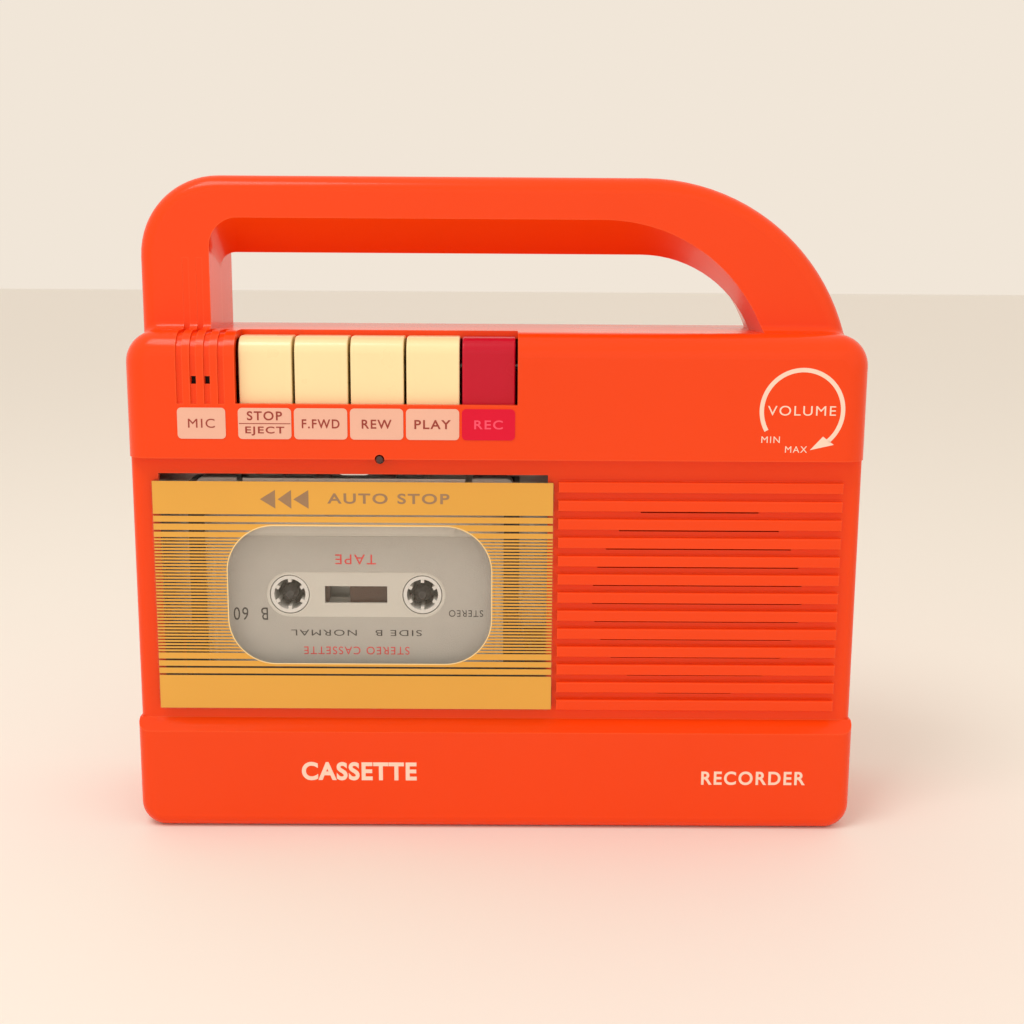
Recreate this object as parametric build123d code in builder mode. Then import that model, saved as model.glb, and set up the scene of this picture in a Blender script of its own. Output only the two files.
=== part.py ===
from build123d import *
import os
from math import asin, cos, degrees, hypot, pi, sin, sqrt

# Portable cassette recorder, in millimetres.  X runs to the right of someone facing it, Y runs to the
# rear and Z runs up.  The origin is on the table under the middle of the case.

# Case
case_width = 230.0
case_depth = 62.0
plinth_height = 32.7
plinth_slope = 3.2
recess_height = 85.1
control_height = 39.0
recess_depth = 5.0
wall = 2.5
recess_wall = 2.0
slope_inset = 1.8
parting_y = 1.0
edge_round = 7.5
plinth_round = 4.0
recess_round = 3.5
rear_round = 6.0
bottom_corner = 8.0
top_corner = 10.0

# Handle
handle_rise = 47.2
handle_half_depth = 18.0
handle_inset = 3.0
handle_pillar = 22.2
handle_corner = 25.0
handle_sweep = 66.5
handle_sweep_x = 46.0
grip_face_height = 12.9
grip_seam_height = 23.5
grip_face_corner = 9.0
grip_seam_corner = 5.0
grip_face_sweep = 54.0
grip_seam_sweep = 39.0
grip_face_sweep_x = 33.0
handle_round = 5.0
handle_wall = 2.5
foot_round = 2.5

# Cassette door and the standard cassette it holds
door_margin = 7.0
lens_width = 126.0
lens_height = 74.5
lens_thickness = 2.0
lens_lift = 3.4
lens_corner = 1.2
door_overlap = 1.0
cassette_width = 100.4
cassette_height = 63.8
cassette_thickness = 8.7
cassette_head_thickness = 12.0
cassette_head_band = 17.5
cassette_lift = 10.8
cassette_front_gap = 1.5
hub_spacing = 42.5
hub_lift = 25.9
cassette_wall = 1.2
holder_back_sheet = 0.95
well_head_gap = 1.7
cassette_clearance = 0.35
hinge_lift = 0.1
holder_side = 1.6
holder_floor = 2.0
holder_lip = 3.0
holder_top_gap = 1.0
cassette_corner = 2.5
bulge_half_top = 35.0
bulge_half_low = 31.5
head_opening_half = 8.0
guide_opening_half = 4.5
guide_opening_offset = 17.5
capstan_opening_half = 7.2
head_opening_depth = 6.4
capstan_hole_radius = 3.2
tape_window_width = 20.0
tape_window_height = 5.6
tape_width = 3.8
hub_radius = 10.9
hub_collar_radius = 6.1
hub_bore = 5.0
hub_tooth_tip = 3.9
hub_tooth_width = 1.1
left_pack_radius = 12.5
right_pack_radius = 23.5
hub_end_gap = 0.2
hub_flange_lap = 0.3
hub_tooth_count = 6
hub_tooth_bury = 0.3
label_paper = 0.15
label_paper_width = 89.0
label_paper_height = 42.0
label_paper_lift = 3.0
label_paper_corner = 2.5
label_slot_radius = 7.4
cassette_edge_round = 0.6
cassette_post_radius = 2.2
cassette_screw_radius = 1.1
cassette_screw_sink = 0.1
cassette_screw_end = 1.0
cassette_screw_reach = 46.0
cassette_screw_low = 4.0
cassette_screw_high = 5.0
cassette_screw_middle = 41.0
hinge_pin_radius = 1.2
hinge_arm = 2.0
arm_web_offset = 0.2
arm_foot_lift = 2.0
arm_height = 12.0
hinge_ear = 3.0
hinge_boss_radius = 2.2

# Deck plate and its pins and screws
deck_gap = 3.3
deck_sheet = 1.2
deck_side_gap = 1.2
deck_right_reach = 3.5
deck_low_lift = 22.0
deck_high_lift = 8.5
deck_post_radius = 2.2
deck_post_left = 2.4
deck_post_right = 2.8
deck_post_low = 3.0
deck_post_top_left = 13.0
deck_post_top = 0.8
deck_screw_head_radius = 2.0
deck_screw_head = 1.3
deck_screw_grip = 6.0
post_radius = 2.0
pin_radius = 1.0
idler_pin_end = 0.25

# Reel spindles and drive wheels
spindle_radius = 2.6
spindle_nose_radius = 1.1
spindle_nose_length = 2.6
spindle_nose_gap = 0.4
spindle_shaft_radius = 2.0
spindle_tail = 0.6
spindle_fin_radius = 4.4
fin_count = 3
fin_bury = 0.4
fin_thickness = 1.0
fin_length = 4.5
fin_behind = 1.5
table_radius = 9.0
table_thickness = 1.4
table_gap = 0.4
takeup_wheel_radius = 12.0
brake_wheel_radius = 9.0
drive_wheel_thickness = 1.4

# Capstan, flywheel, belt and motor
capstan_radius = 1.0
capstan_offset = 30.0
capstan_drop = 5.2
capstan_nose = 6.0
capstan_tail = 1.7
capstan_bush_radius = 3.0
bush_nose = 2.4
bush_end_gap = 0.1
flywheel_radius = 22.0
flywheel_width = 6.0
flywheel_rim = 6.0
flywheel_web_inset = 1.0
flywheel_hub_radius = 6.0
flywheel_hub_rise = 0.8
pinion_radius = 5.0
pinion_neck_radius = 4.0
belt_thickness = 1.2
belt_groove_depth = 0.8
belt_groove_half = 0.9
flywheel_bracket_gap = 2.0
bracket_half = 5.0
bracket_end = 3.0
bracket_post_gap = 3.2
motor_radius = 16.0
motor_length = 23.5
motor_offset = 32.0
motor_nose_radius = 3.8
motor_nose_gap = 0.2
motor_edge = 1.0
motor_back_edge = 1.5
motor_shaft_radius = 1.0
motor_shaft_depth = 9.0
shaft_end_gap = 0.5
motor_plate_sheet = 1.5
motor_plate_left = 19.0
motor_plate_right = 20.0
motor_plate_rise = 17.0
motor_plate_drop = 19.0
motor_post_right = 17.0
motor_post_rise = 12.0
motor_post_left = 15.0
motor_post_drop = 16.0
pulley_radius = 3.0
pulley_flange = 0.8
pulley_half = 2.2

# Head carriage, heads and pinch roller
head_travel = 4.8
head_rest_gap = 0.9
head_block = 9.0
head_height = 9.5
head_half = 6.2
head_nose_round = 3.0
erase_left = 14.2
erase_right = 20.8
erase_set_back = 1.0
erase_shorter = 1.5
erase_nose_round = 1.5
carriage_sheet = 1.2
carriage_low_gap = 0.6
carriage_high_gap = 1.5
carriage_left_reach = 9.0
carriage_right_reach = 30.0
carriage_pin_radius = 1.2
guide_left = 12.0
guide_left_rise = 11.5
guide_right = 26.0
guide_right_rise = 6.5
guide_head_gap = 0.2
guide_head_lap = 0.9
guide_head_thickness = 0.7
pin_slot_gap = 0.1
bush_slot_gap = 0.6
mount_gap = 0.5
mount_left = 8.0
mount_right = 22.0
tab_half = 4.0
tab_front_gap = 0.6
pinch_roller_radius = 5.6
pinch_half = 3.6
pinch_head_gap = 0.2
pinch_head_lap = 0.8
pinch_head_thickness = 0.8
tape_gap = 0.3

# Keys
key_count = 5
key_pitch = 17.2
key_gap = 0.85
key_row_margin = 35.4
key_side_gap = 0.75
key_opening_lift = 17.0
key_skin = 2.0
key_wall_gap = 0.3
key_drop = 1.6
key_shaft_radius = 1.5
ear_near = 1.5
ear_far = 5.0
ear_wall = 1.8
key_shaft_height = 12.0
key_shaft_behind = 27.0
key_shelf_behind = 14.1
key_skirt_overlap = 1.8
key_web = 1.2
key_rear_drop = 7.0
key_skirt_depth = 6.0
key_lever_half = 4.0
key_lever_bury = 1.0
key_lever_drop = 4.0
key_boss_radius = 3.2
key_edge_round = 0.5
spring_wire = 0.35
spring_pitch = 0.9
spring_turns = 3

# Speaker and grille
grille_margin = 6.4
grille_gap = 1.25
rib_count = 13
rib_height = 3.45
rib_proud = 2.0
speaker_radius = 38.5
speaker_depth = 27.0
magnet_radius = 19.0
sound_slot = 0.7
rib_round = 0.4

# Speaker parts, with depths from the inside of the recess wall
speaker_edge = 5.0
basket_sheet = 1.2
basket_rim = 2.7
basket_throat = 2.0
basket_depth = 16.0
basket_floor = 1.0
basket_lap = 1.0
coil_radius = 9.0
coil_wall = 0.5
coil_gap = 0.4
coil_end = 14.5
coil_gap_end = 22.0
pole_front = 12.0
pole_radius = 7.8
cone_front = 0.9
cone_edge_gap = 0.3
cone_paper = 0.6
cone_thickness = 0.9
cone_depth = 11.5
cone_slant = 0.2
surround_width = 3.0
surround_rise = 1.0
cap_depth = 7.6
cap_sheet = 0.5
cap_shoulder_radius = 5.0
cap_shoulder_rise = 0.9

# Volume control
volume_radius = 20.0
volume_thickness = 6.0
volume_rim_inset = 0.5
volume_rim = 4.0
volume_rim_slope = 1.0
volume_dish = 1.5
volume_edge = 0.5
volume_lift = 15.0
volume_behind = 15.0
volume_slot = 9.8
volume_scoop = 13.0
volume_scoop_radius = 16.0
volume_scoop_depth = 1.3
volume_spindle_radius = 3.0
volume_spindle_length = 8.0
volume_notches = 48
volume_notch_radius = 0.75
volume_notch_out = 0.35
control_radius = 8.5
control_gap = 3.0

# Labels, microphone, lamp
label_height = 9.6
label_thickness = 0.2
label_corner = 1.3
label_drop = 1.2
mic_label_width = 14.8
mic_groove_count = 4
mic_groove_pitch = 4.24
mic_groove_width = 1.9
mic_groove_depth = 0.8
mic_left_margin = 17.7
mic_radius = 4.5
mic_length = 6.0
mic_hole = 1.7
mic_hole_half_height = 1.19
mic_hole_lift = 7.2
lamp_radius = 1.5
lamp_offset = 8.7
lamp_dome_radius = 1.05
lamp_shoulder = 0.8
lamp_flange = 0.5
lamp_flange_thickness = 1.0

# Power, screws and sockets
cell_radius = 13.0
cell_length = 50.0
cell_count = 4
cell_nub = 1.5
cell_nub_radius = 3.6
contact_gap = 4.0
contact_sheet = 0.5
contact_half = 7.0
contact_wire = 0.45
contact_bury = 0.1
contact_spring_pitch = 0.95
contact_spring_radius = 6.0
contact_spring_cone = 20.0
battery_wall = 1.2
cover_end_lap = 1.0
cover_wrap = 9.0
cover_top_drop = 0.4
thumb_ridge_count = 4
thumb_ridge_pitch = 2.4
thumb_ridge_half = 12.0
thumb_ridge_drop = 3.5
thumb_ridge_width = 1.0
relief = 0.3
screw_radius = 1.5
screw_head_radius = 2.8
screw_head_thickness = 1.8
screw_counterbore = 4.0
screw_grip = 9.0
screw_tip_gap = 1.0
boss_radius = 3.6
rear_boss_radius = 4.6
upper_screw_inset = 9.0
upper_screw_rise = 17.0
top_screw_reach = 45.0
top_screw_drop = 9.0
lower_screw_inset = 7.6
lower_screw_drop = 1.0
pillar_screw_rise = 18.0
sweep_screw_inset = 22.0
sweep_screw_rise = 10.0
jack_radius = 1.75
jack_nose = 3.0
jack_body = 12.0
jack_half = 5.0
jack_floor = 1.5
jack_nose_inset = 0.2
jack_low_drop = 14.0
jack_high_rise = 2.0
power_nose = 4.2
power_bore = 2.75
power_pin = 1.0
power_pin_inset = 1.0
power_jack_rise = 20.0

# Circuit board and its parts; each capacitor is (from the left edge, from the lower edge, radius, height)
board_thickness = 1.6
board_y = 6.0
board_left_gap = 2.5
board_right_gap = 13.0
board_low_gap = 6.0
board_high_reach = 10.0
board_post_radius = 3.0
board_post_left = 4.5
board_post_lift = 6.0
board_post_right = 5.0
board_post_right_lift = 14.0
capacitors = [(12.0, 14.0, 5.0, 14.0), (26.0, 14.0, 4.0, 11.0), (14.0, 34.0, 3.2, 9.0),
              (34.0, 36.0, 3.2, 9.0), (52.0, 18.0, 5.0, 14.0), (50.0, 60.0, 2.6, 8.0), (30.0, 78.0, 2.6, 8.0)]
chip_from_left = 32.0
chip_from_low = 50.0
chip_width = 10.0
chip_length = 19.0
chip_thickness = 3.5
switch_from_left = 4.0
switch_from_high = 4.0
switch_width = 8.0
switch_length = 36.0
switch_thickness = 6.0


# Clearances: a slide or a loose fit, a shaft in its bore, and faces that meet; a cut runs past its face
sliding = 0.3
running = 0.05
touch = 0.02
past = 1.0

# Derived planes
half_width = case_width / 2
front_y = -case_depth / 2
rear_y = case_depth / 2
recess_low = plinth_height + plinth_slope
panel_low = recess_low + recess_height
case_height = panel_low + control_height
recess_y = front_y + recess_depth
recess_inner_y = recess_y + recess_wall
handle_top = case_height + handle_rise
handle_front = parting_y - handle_half_depth
handle_rear = parting_y + handle_half_depth

door_left = -half_width + door_margin
door_right = door_left + lens_width
cassette_x = door_left + lens_width / 2
lens_low = recess_low + lens_lift
lens_high = lens_low + lens_height
lens_y = recess_y - lens_thickness
cassette_low = lens_low + cassette_lift
cassette_high = cassette_low + cassette_height
cassette_y = recess_y + cassette_front_gap + cassette_head_thickness / 2
cassette_face_y = cassette_y - cassette_thickness / 2
cassette_back_y = cassette_y + cassette_thickness / 2
cassette_head_back_y = cassette_y + cassette_head_thickness / 2
well_left = door_left + 2 * door_overlap
well_right = door_right - 2 * door_overlap
well_low = lens_low + door_overlap
well_high = cassette_high + well_head_gap
hub_z = cassette_low + hub_lift
takeup_x = cassette_x - hub_spacing / 2
supply_x = cassette_x + hub_spacing / 2
hinge_z = recess_low + hinge_lift
hinge_y = recess_inner_y + hinge_boss_radius + sliding

deck_y = cassette_head_back_y + deck_gap
deck_back_y = deck_y + deck_sheet
capstan_x = cassette_x - capstan_offset
capstan_z = cassette_high - capstan_drop
wheel_front_y = deck_back_y + sliding
wheel_back_y = wheel_front_y + drive_wheel_thickness
flywheel_front_y = wheel_back_y + sliding
flywheel_back_y = flywheel_front_y + flywheel_width
belt_y = (flywheel_front_y + flywheel_back_y) / 2
motor_x = cassette_x + motor_offset
motor_z = capstan_z
motor_plate_y = flywheel_back_y + flywheel_bracket_gap

key_left = -half_width + key_row_margin
key_row_right = key_left + key_count * key_pitch - key_gap
key_opening_low = panel_low + key_opening_lift
key_front_y = front_y + wall + key_wall_gap
key_top_z = case_height - key_drop
key_shaft_y = front_y + key_shaft_behind
key_shaft_z = case_height - key_shaft_height
key_opening_rear = front_y + key_shelf_behind

grille_left = door_right + grille_gap
grille_right = half_width - grille_margin
rib_pitch = (lens_height - rib_height) / (rib_count - 1)
speaker_x = (grille_left + grille_right) / 2
speaker_z = (lens_low + lens_high) / 2

volume_x = half_width - volume_rim_inset - volume_radius
volume_z = panel_low + volume_lift
volume_front_y = front_y + volume_behind
volume_back_y = volume_front_y + volume_thickness

mic_left = -half_width + mic_left_margin
mic_hole_z = key_opening_low + mic_hole_lift
lamp_x = cassette_x + lamp_offset
ear_half = key_shaft_radius + ear_wall
speaker_cone_radius = speaker_radius - speaker_edge
board_back_y = board_y + board_thickness
key_half = (key_pitch - key_gap) / 2
key_centres = [key_left + index * key_pitch + key_half for index in range(key_count)]
deck_left = -half_width + wall + deck_side_gap
deck_right = door_right + deck_right_reach
deck_low = well_low + deck_low_lift
deck_high = panel_low + deck_high_lift
deck_post_right_x = deck_right - deck_post_right
deck_posts = [(deck_left + deck_post_left, deck_low + deck_post_low),
              (deck_post_right_x, deck_low + deck_post_low),
              (deck_left + deck_post_top_left, panel_low + deck_post_top),
              (deck_post_right_x, panel_low + deck_post_top)]
board_left = deck_right + board_left_gap
board_right = half_width - board_right_gap
board_low = recess_low + board_low_gap
board_high = volume_z + board_high_reach
board_posts = [(board_left + board_post_left, board_low + board_post_lift),
               (board_right - board_post_right, board_low + board_post_right_lift)]
cassette_screw_left = cassette_x - cassette_screw_reach
cassette_screw_right = cassette_x + cassette_screw_reach
cassette_screw_places = [(x, z) for x in (cassette_screw_left, cassette_screw_right)
                         for z in (cassette_low + cassette_screw_low, cassette_high - cassette_screw_high)]
cassette_screw_places += [(cassette_x, cassette_low + cassette_screw_middle)]
cells_left = -cell_count * cell_length / 2
cell_y = rear_y - wall - cell_radius
cell_z = wall + cell_radius + sliding
cell_room = cell_radius + sliding
jack_heights = [speaker_z - jack_low_drop, speaker_z + jack_high_rise]
power_jack_z = speaker_z + power_jack_rise


def save(part, name):
    """Labels one finished piece and writes it to its own file."""
    part.label = name
    export_step(part, f"parts/{name}.step")


def slab(low, high, mode=Mode.ADD):
    """A block between two opposite corners."""
    centre = [(a + b) / 2 for a, b in zip(low, high)]
    sizes = [b - a for a, b in zip(low, high)]
    with Locations(tuple(centre)):
        Box(*sizes, mode=mode)


def turned(profile, x, z, mode=Mode.ADD):
    """A ring or shaft turned about the Y direction through (x, z), from (radius, y) points."""
    with BuildSketch(Plane(origin=(x, 0, z), x_dir=(1, 0, 0), z_dir=(0, 0, 1))) as outline:
        with BuildLine():
            Polyline(*profile, close=True)
        make_face()
    revolve(outline.sketch, axis=Axis((x, 0, z), (0, 1, 0)), mode=mode)


def bar(x, z, radius, y_low, y_high, mode=Mode.ADD):
    """A plain round bar or bore along Y."""
    with BuildSketch(Plane.XZ.offset(-y_high)) as section:
        with Locations((x, z)):
            Circle(radius)
    extrude(section.sketch, amount=y_high - y_low, mode=mode)


def cross_bar(y, z, radius, x_low, x_high, mode=Mode.ADD):
    """A plain round bar or bore along X."""
    with BuildSketch(Plane.YZ.offset(x_low)) as section:
        with Locations((y, z)):
            Circle(radius)
    extrude(section.sketch, amount=x_high - x_low, mode=mode)


def across(points, x_low, x_high, mode=Mode.ADD):
    """A (y, z) outline carried across the width."""
    with BuildSketch(Plane.YZ.offset(x_low)) as section:
        with BuildLine():
            Polyline(*points, close=True)
        make_face()
    extrude(section.sketch, amount=x_high - x_low, mode=mode)


def block(half, y_open, y_face, z_low, z_high, low_corner, high_corner, rounding, open_edges):
    """A block of the case: outline rounded at its free corners, its face edge rounded all along.

    open_edges holds the heights at which the block runs on into its neighbour and stays square."""
    with BuildPart() as piece:
        slab((-half, min(y_open, y_face), z_low), (half, max(y_open, y_face), z_high))
        uprights = piece.edges().filter_by(Axis.Y)
        if low_corner:
            fillet(uprights.group_by(Axis.Z)[0], low_corner)
        uprights = piece.edges().filter_by(Axis.Y)
        if high_corner:
            fillet(uprights.group_by(Axis.Z)[-1], high_corner)
        face_edges = piece.edges().filter_by_position(Axis.Y, y_face - touch, y_face + touch)
        for height in open_edges:
            face_edges = ShapeList([e for e in face_edges if abs(e.center().Z - height) > touch])
        fillet(face_edges, rounding)
    return piece.part


def case_blocks(inset, floor_inset):
    """The three stacked blocks of the front half of the case, shrunk all round by inset."""
    half = half_width - inset
    lower_top = recess_low if inset == 0 else plinth_height - slope_inset
    overlap = edge_round
    lower = block(half, parting_y, front_y + inset, inset, lower_top,
                  bottom_corner - inset, 0, plinth_round - inset, [lower_top])
    middle = block(half, parting_y, recess_y + floor_inset, plinth_height - overlap, panel_low + overlap,
                   0, 0, recess_round - floor_inset, [plinth_height - overlap, panel_low + overlap])
    upper = block(half, parting_y, front_y + inset, panel_low + inset, case_height - inset,
                  0, top_corner - inset, edge_round - inset, [panel_low + inset])
    return lower, middle, upper


def arc_about(x, z, radius, start, end):
    """An arc about (x, z) between two angles, in radians."""
    angles = (start, (start + end) / 2, end)
    ThreePointArc(*[(x + radius * cos(angle), z + radius * sin(angle)) for angle in angles])


def arc_foot(x, z, radius, foot):
    """Where the right side of a circle about (x, z) crosses the height foot: its x and its angle."""
    angle = asin((foot - z) / radius)
    return x + radius * cos(angle), angle


def handle_outline(left, top, corner, sweep, sweep_x, foot):
    """Square left side, rounded corner, straight top, then a long sweep down to the right."""
    right, angle = arc_foot(sweep_x, top - sweep, sweep, foot)
    with BuildLine() as outline:
        Line((left, foot), (left, top - corner))
        arc_about(left + corner, top - corner, corner, pi, pi / 2)
        Line((left + corner, top), (sweep_x, top))
        arc_about(sweep_x, top - sweep, sweep, pi / 2, angle)
        Line((right, foot), (left, foot))
    return outline.line


def handle_half(y_face):
    """Half of the carrying handle, from the parting plane to its flat face, with the finger opening."""
    depth = abs(y_face - parting_y)
    toward = -1 if y_face < parting_y else 1
    left = -half_width + handle_inset
    grip_left = left + handle_pillar
    foot = case_height - top_corner
    with BuildPart() as half:
        with BuildSketch(Plane.XZ.offset(-parting_y)) as outline:
            add(handle_outline(left, handle_top, handle_corner, handle_sweep, handle_sweep_x, foot))
            make_face()
        extrude(outline.sketch, amount=-toward * depth)
        rim = half.edges().filter_by_position(Axis.Y, y_face - touch, y_face + touch)
        rim = ShapeList([e for e in rim if abs(e.center().Z - foot) > touch])
        fillet(rim, handle_round)
        with BuildSketch(Plane.XZ.offset(-parting_y)) as seam:
            add(handle_outline(grip_left, handle_top - grip_seam_height, grip_seam_corner, grip_seam_sweep,
                               handle_sweep_x, foot))
            make_face()
        with BuildSketch(Plane.XZ.offset(-y_face)) as mouth:
            add(handle_outline(grip_left, handle_top - grip_face_height, grip_face_corner, grip_face_sweep,
                               grip_face_sweep_x, foot))
            make_face()
        loft([seam.sketch.face(), mouth.sketch.face()], mode=Mode.SUBTRACT)
    return half.part


def handle_core(y_face):
    """The hollow inside one half of the handle: its outline, a wall in from every face."""
    depth = abs(y_face - parting_y) - handle_wall
    toward = -1 if y_face < parting_y else 1
    left = -half_width + handle_inset + handle_wall
    right = left + handle_pillar - 2 * handle_wall
    top = handle_top - handle_wall
    foot = case_height
    corner = handle_corner - handle_wall
    outer = handle_sweep - handle_wall
    outer_z = handle_top - handle_sweep
    inner = grip_face_sweep + handle_wall
    inner_top = handle_top - grip_face_height + handle_wall
    outer_foot, outer_angle = arc_foot(handle_sweep_x, outer_z, outer, foot)
    inner_foot, inner_angle = arc_foot(grip_face_sweep_x, inner_top - inner, inner, foot)
    with BuildPart() as core:
        with BuildSketch(Plane.XZ.offset(-parting_y)) as outline:
            with BuildLine():
                Line((left, foot), (left, top - corner))
                arc_about(left + corner, top - corner, corner, pi, pi / 2)
                Line((left + corner, top), (handle_sweep_x, top))
                arc_about(handle_sweep_x, outer_z, outer, pi / 2, outer_angle)
                Line((outer_foot, foot), (inner_foot, foot))
                arc_about(grip_face_sweep_x, inner_top - inner, inner, inner_angle, pi / 2)
                Polyline((grip_face_sweep_x, inner_top), (right, inner_top), (right, foot), (left, foot))
            make_face()
        extrude(outline.sketch, amount=-toward * depth)
    return core.part


os.makedirs("parts", exist_ok=True)

# Front housing: moulded half shell with the recess, the grille and the front half of the handle
outer_blocks = case_blocks(0, 0)
inner_blocks = case_blocks(wall, recess_wall)
front_handle = handle_half(handle_front)
front_core = handle_core(handle_front)

front_screws = [(-half_width + upper_screw_inset, panel_low + upper_screw_rise),
                (grille_left + top_screw_reach, case_height - top_screw_drop),
                (-half_width + lower_screw_inset, recess_low - lower_screw_drop),
                (half_width - lower_screw_inset, recess_low - lower_screw_drop)]
handle_screws = [(-half_width + handle_inset + handle_pillar / 2, case_height + pillar_screw_rise),
                 (half_width - sweep_screw_inset, case_height + sweep_screw_rise)]
key_ear_spans = [(key_left - ear_far, key_left - ear_near),
                 (key_row_right + ear_near, key_row_right + ear_far)]
hinge_ear_spans = [(well_left + ear_near, well_left + ear_near + hinge_ear),
                   (well_right - ear_near - hinge_ear, well_right - ear_near)]

with BuildPart() as front_housing:
    for piece in outer_blocks:
        add(piece)
    across([(front_y - recess_depth, plinth_height - plinth_slope), (recess_y, recess_low),
            (recess_y, recess_low + recess_depth), (front_y - recess_depth, recess_low + recess_depth)],
           -case_width, case_width, mode=Mode.SUBTRACT)
    add(front_handle)
    foot_edges = front_housing.edges().filter_by_position(Axis.Z, case_height - touch, case_height + touch)
    foot_edges = foot_edges.filter_by_position(Axis.Y, handle_front - touch, handle_front + touch)
    fillet(foot_edges, foot_round)
    for piece in inner_blocks:
        add(piece, mode=Mode.SUBTRACT)
    add(front_core, mode=Mode.SUBTRACT)

    # bosses, pin ears and shaft ears stand on the inside of the mouldings
    for x, z in front_screws:
        bar(x, z, boss_radius, front_y + wall - touch if z > panel_low else recess_inner_y - touch, parting_y)
    for x, z in handle_screws:
        bar(x, z, boss_radius, handle_front + handle_wall - touch, parting_y)
    for x_low, x_high in hinge_ear_spans:
        slab((x_low, recess_inner_y - touch, hinge_z - hinge_boss_radius),
             (x_high, hinge_y + hinge_boss_radius, hinge_z + hinge_boss_radius))
    for x_low, x_high in key_ear_spans:
        slab((x_low, key_shaft_y - ear_half, key_shaft_z - ear_half),
             (x_high, key_shaft_y + ear_half, case_height - wall))
    for x, z in deck_posts:
        bar(x, z, deck_post_radius, recess_inner_y - touch, deck_y)

    # openings for the door, the keys, the volume wheel and the lamp
    slab((well_left, recess_y - past, well_low), (well_right, recess_inner_y + past, well_high),
         mode=Mode.SUBTRACT)
    slab((key_left - key_side_gap, front_y - past, key_opening_low),
         (key_row_right + key_side_gap, key_opening_rear, case_height + past), mode=Mode.SUBTRACT)
    slab((half_width - edge_round, volume_front_y - sliding, volume_z - volume_slot),
         (half_width + past, volume_back_y + sliding, volume_z + volume_slot), mode=Mode.SUBTRACT)
    bar(lamp_x, panel_low, lamp_radius + touch, front_y - past, recess_inner_y + past, mode=Mode.SUBTRACT)

    # finger scoop round the volume wheel
    scoop_x = half_width + volume_scoop_radius - volume_scoop_depth
    with BuildSketch(Plane.XY.offset(volume_z - volume_scoop)) as scoop:
        with Locations((scoop_x, (volume_front_y + volume_back_y) / 2)):
            Circle(volume_scoop_radius)
    extrude(scoop.sketch, amount=2 * volume_scoop, mode=Mode.SUBTRACT)

    # four grooves over the microphone, with two small holes
    for index in range(mic_groove_count):
        groove_x = mic_left + index * mic_groove_pitch
        with BuildSketch(Plane.YZ.offset(groove_x - mic_groove_width / 2)) as groove:
            with Locations((front_y, case_height)):
                Rectangle(2 * key_shelf_behind, 2 * (control_height - key_opening_lift))
            with Locations((parting_y, 0)):
                RectangleRounded(2 * (parting_y - front_y - mic_groove_depth),
                                 2 * (case_height - mic_groove_depth),
                                 edge_round - mic_groove_depth, mode=Mode.SUBTRACT)
        extrude(groove.sketch, amount=mic_groove_width, mode=Mode.SUBTRACT)
    for index in (1, 2):
        hole_x = mic_left + index * mic_groove_pitch
        slab((hole_x - mic_hole / 2, front_y - past, mic_hole_z - mic_hole_half_height),
             (hole_x + mic_hole / 2, front_y + wall + past, mic_hole_z + mic_hole_half_height),
             mode=Mode.SUBTRACT)

    # screw and pin holes
    for x, z in front_screws + handle_screws:
        bar(x, z, screw_radius + touch, parting_y - screw_grip, parting_y + past, mode=Mode.SUBTRACT)
    for x, z in deck_posts:
        bar(x, z, pin_radius + touch, deck_y - deck_screw_grip, deck_y + past, mode=Mode.SUBTRACT)
    for x_low, x_high in hinge_ear_spans:
        cross_bar(hinge_y, hinge_z, hinge_pin_radius + touch, x_low - past, x_high + past, mode=Mode.SUBTRACT)
    for x_low, x_high in key_ear_spans:
        cross_bar(key_shaft_y, key_shaft_z, key_shaft_radius + touch, x_low - past, x_high + past,
                  mode=Mode.SUBTRACT)

    # loudspeaker grille: ribs on the recess floor, a thin sound slot under each one
    for index in range(rib_count):
        rib_low = lens_low + index * rib_pitch
        slab((grille_left, recess_y - rib_proud, rib_low),
             (grille_right, recess_y + touch, rib_low + rib_height))
    rib_edges = front_housing.edges().filter_by_position(Axis.Y, recess_y - rib_proud - touch,
                                                         recess_y - rib_proud + touch)
    rib_edges = rib_edges.filter_by_position(Axis.X, grille_left - touch, grille_right + touch)
    fillet(rib_edges, rib_round)
    for index in range(1, rib_count):
        slot_top = lens_low + index * rib_pitch
        reach = speaker_cone_radius**2 - (slot_top - speaker_z) ** 2
        if reach > 0:
            slab((speaker_x - sqrt(reach), recess_y - past, slot_top - sound_slot),
                 (speaker_x + sqrt(reach), recess_inner_y + past, slot_top), mode=Mode.SUBTRACT)
save(front_housing.part, "front_housing")


# Rear housing: the other half shell, with the battery box, the screw bosses and the jack holes
rear_outer = block(half_width, parting_y, rear_y, 0, case_height, bottom_corner, top_corner, rear_round, [])
rear_inner = block(half_width - wall, parting_y, rear_y - wall, wall, case_height - wall,
                   bottom_corner - wall, top_corner - wall, rear_round - wall, [])
rear_handle = handle_half(handle_rear)
rear_core = handle_core(handle_rear)
box_end = cell_count * cell_length / 2 + contact_gap
box_top = cell_z + cell_room
cover_half = box_end - cover_end_lap
cover_front_y = rear_y - cover_wrap
cover_top = box_top - cover_top_drop
jack_y = board_back_y + jack_half
screw_seat_y = rear_y - screw_counterbore
handle_seat_y = handle_rear - screw_counterbore
rear_screws = [(x, z, screw_seat_y, rear_y, rear_y - wall) for x, z in front_screws]
rear_screws += [(x, z, handle_seat_y, handle_rear, handle_rear - handle_wall) for x, z in handle_screws]

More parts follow.
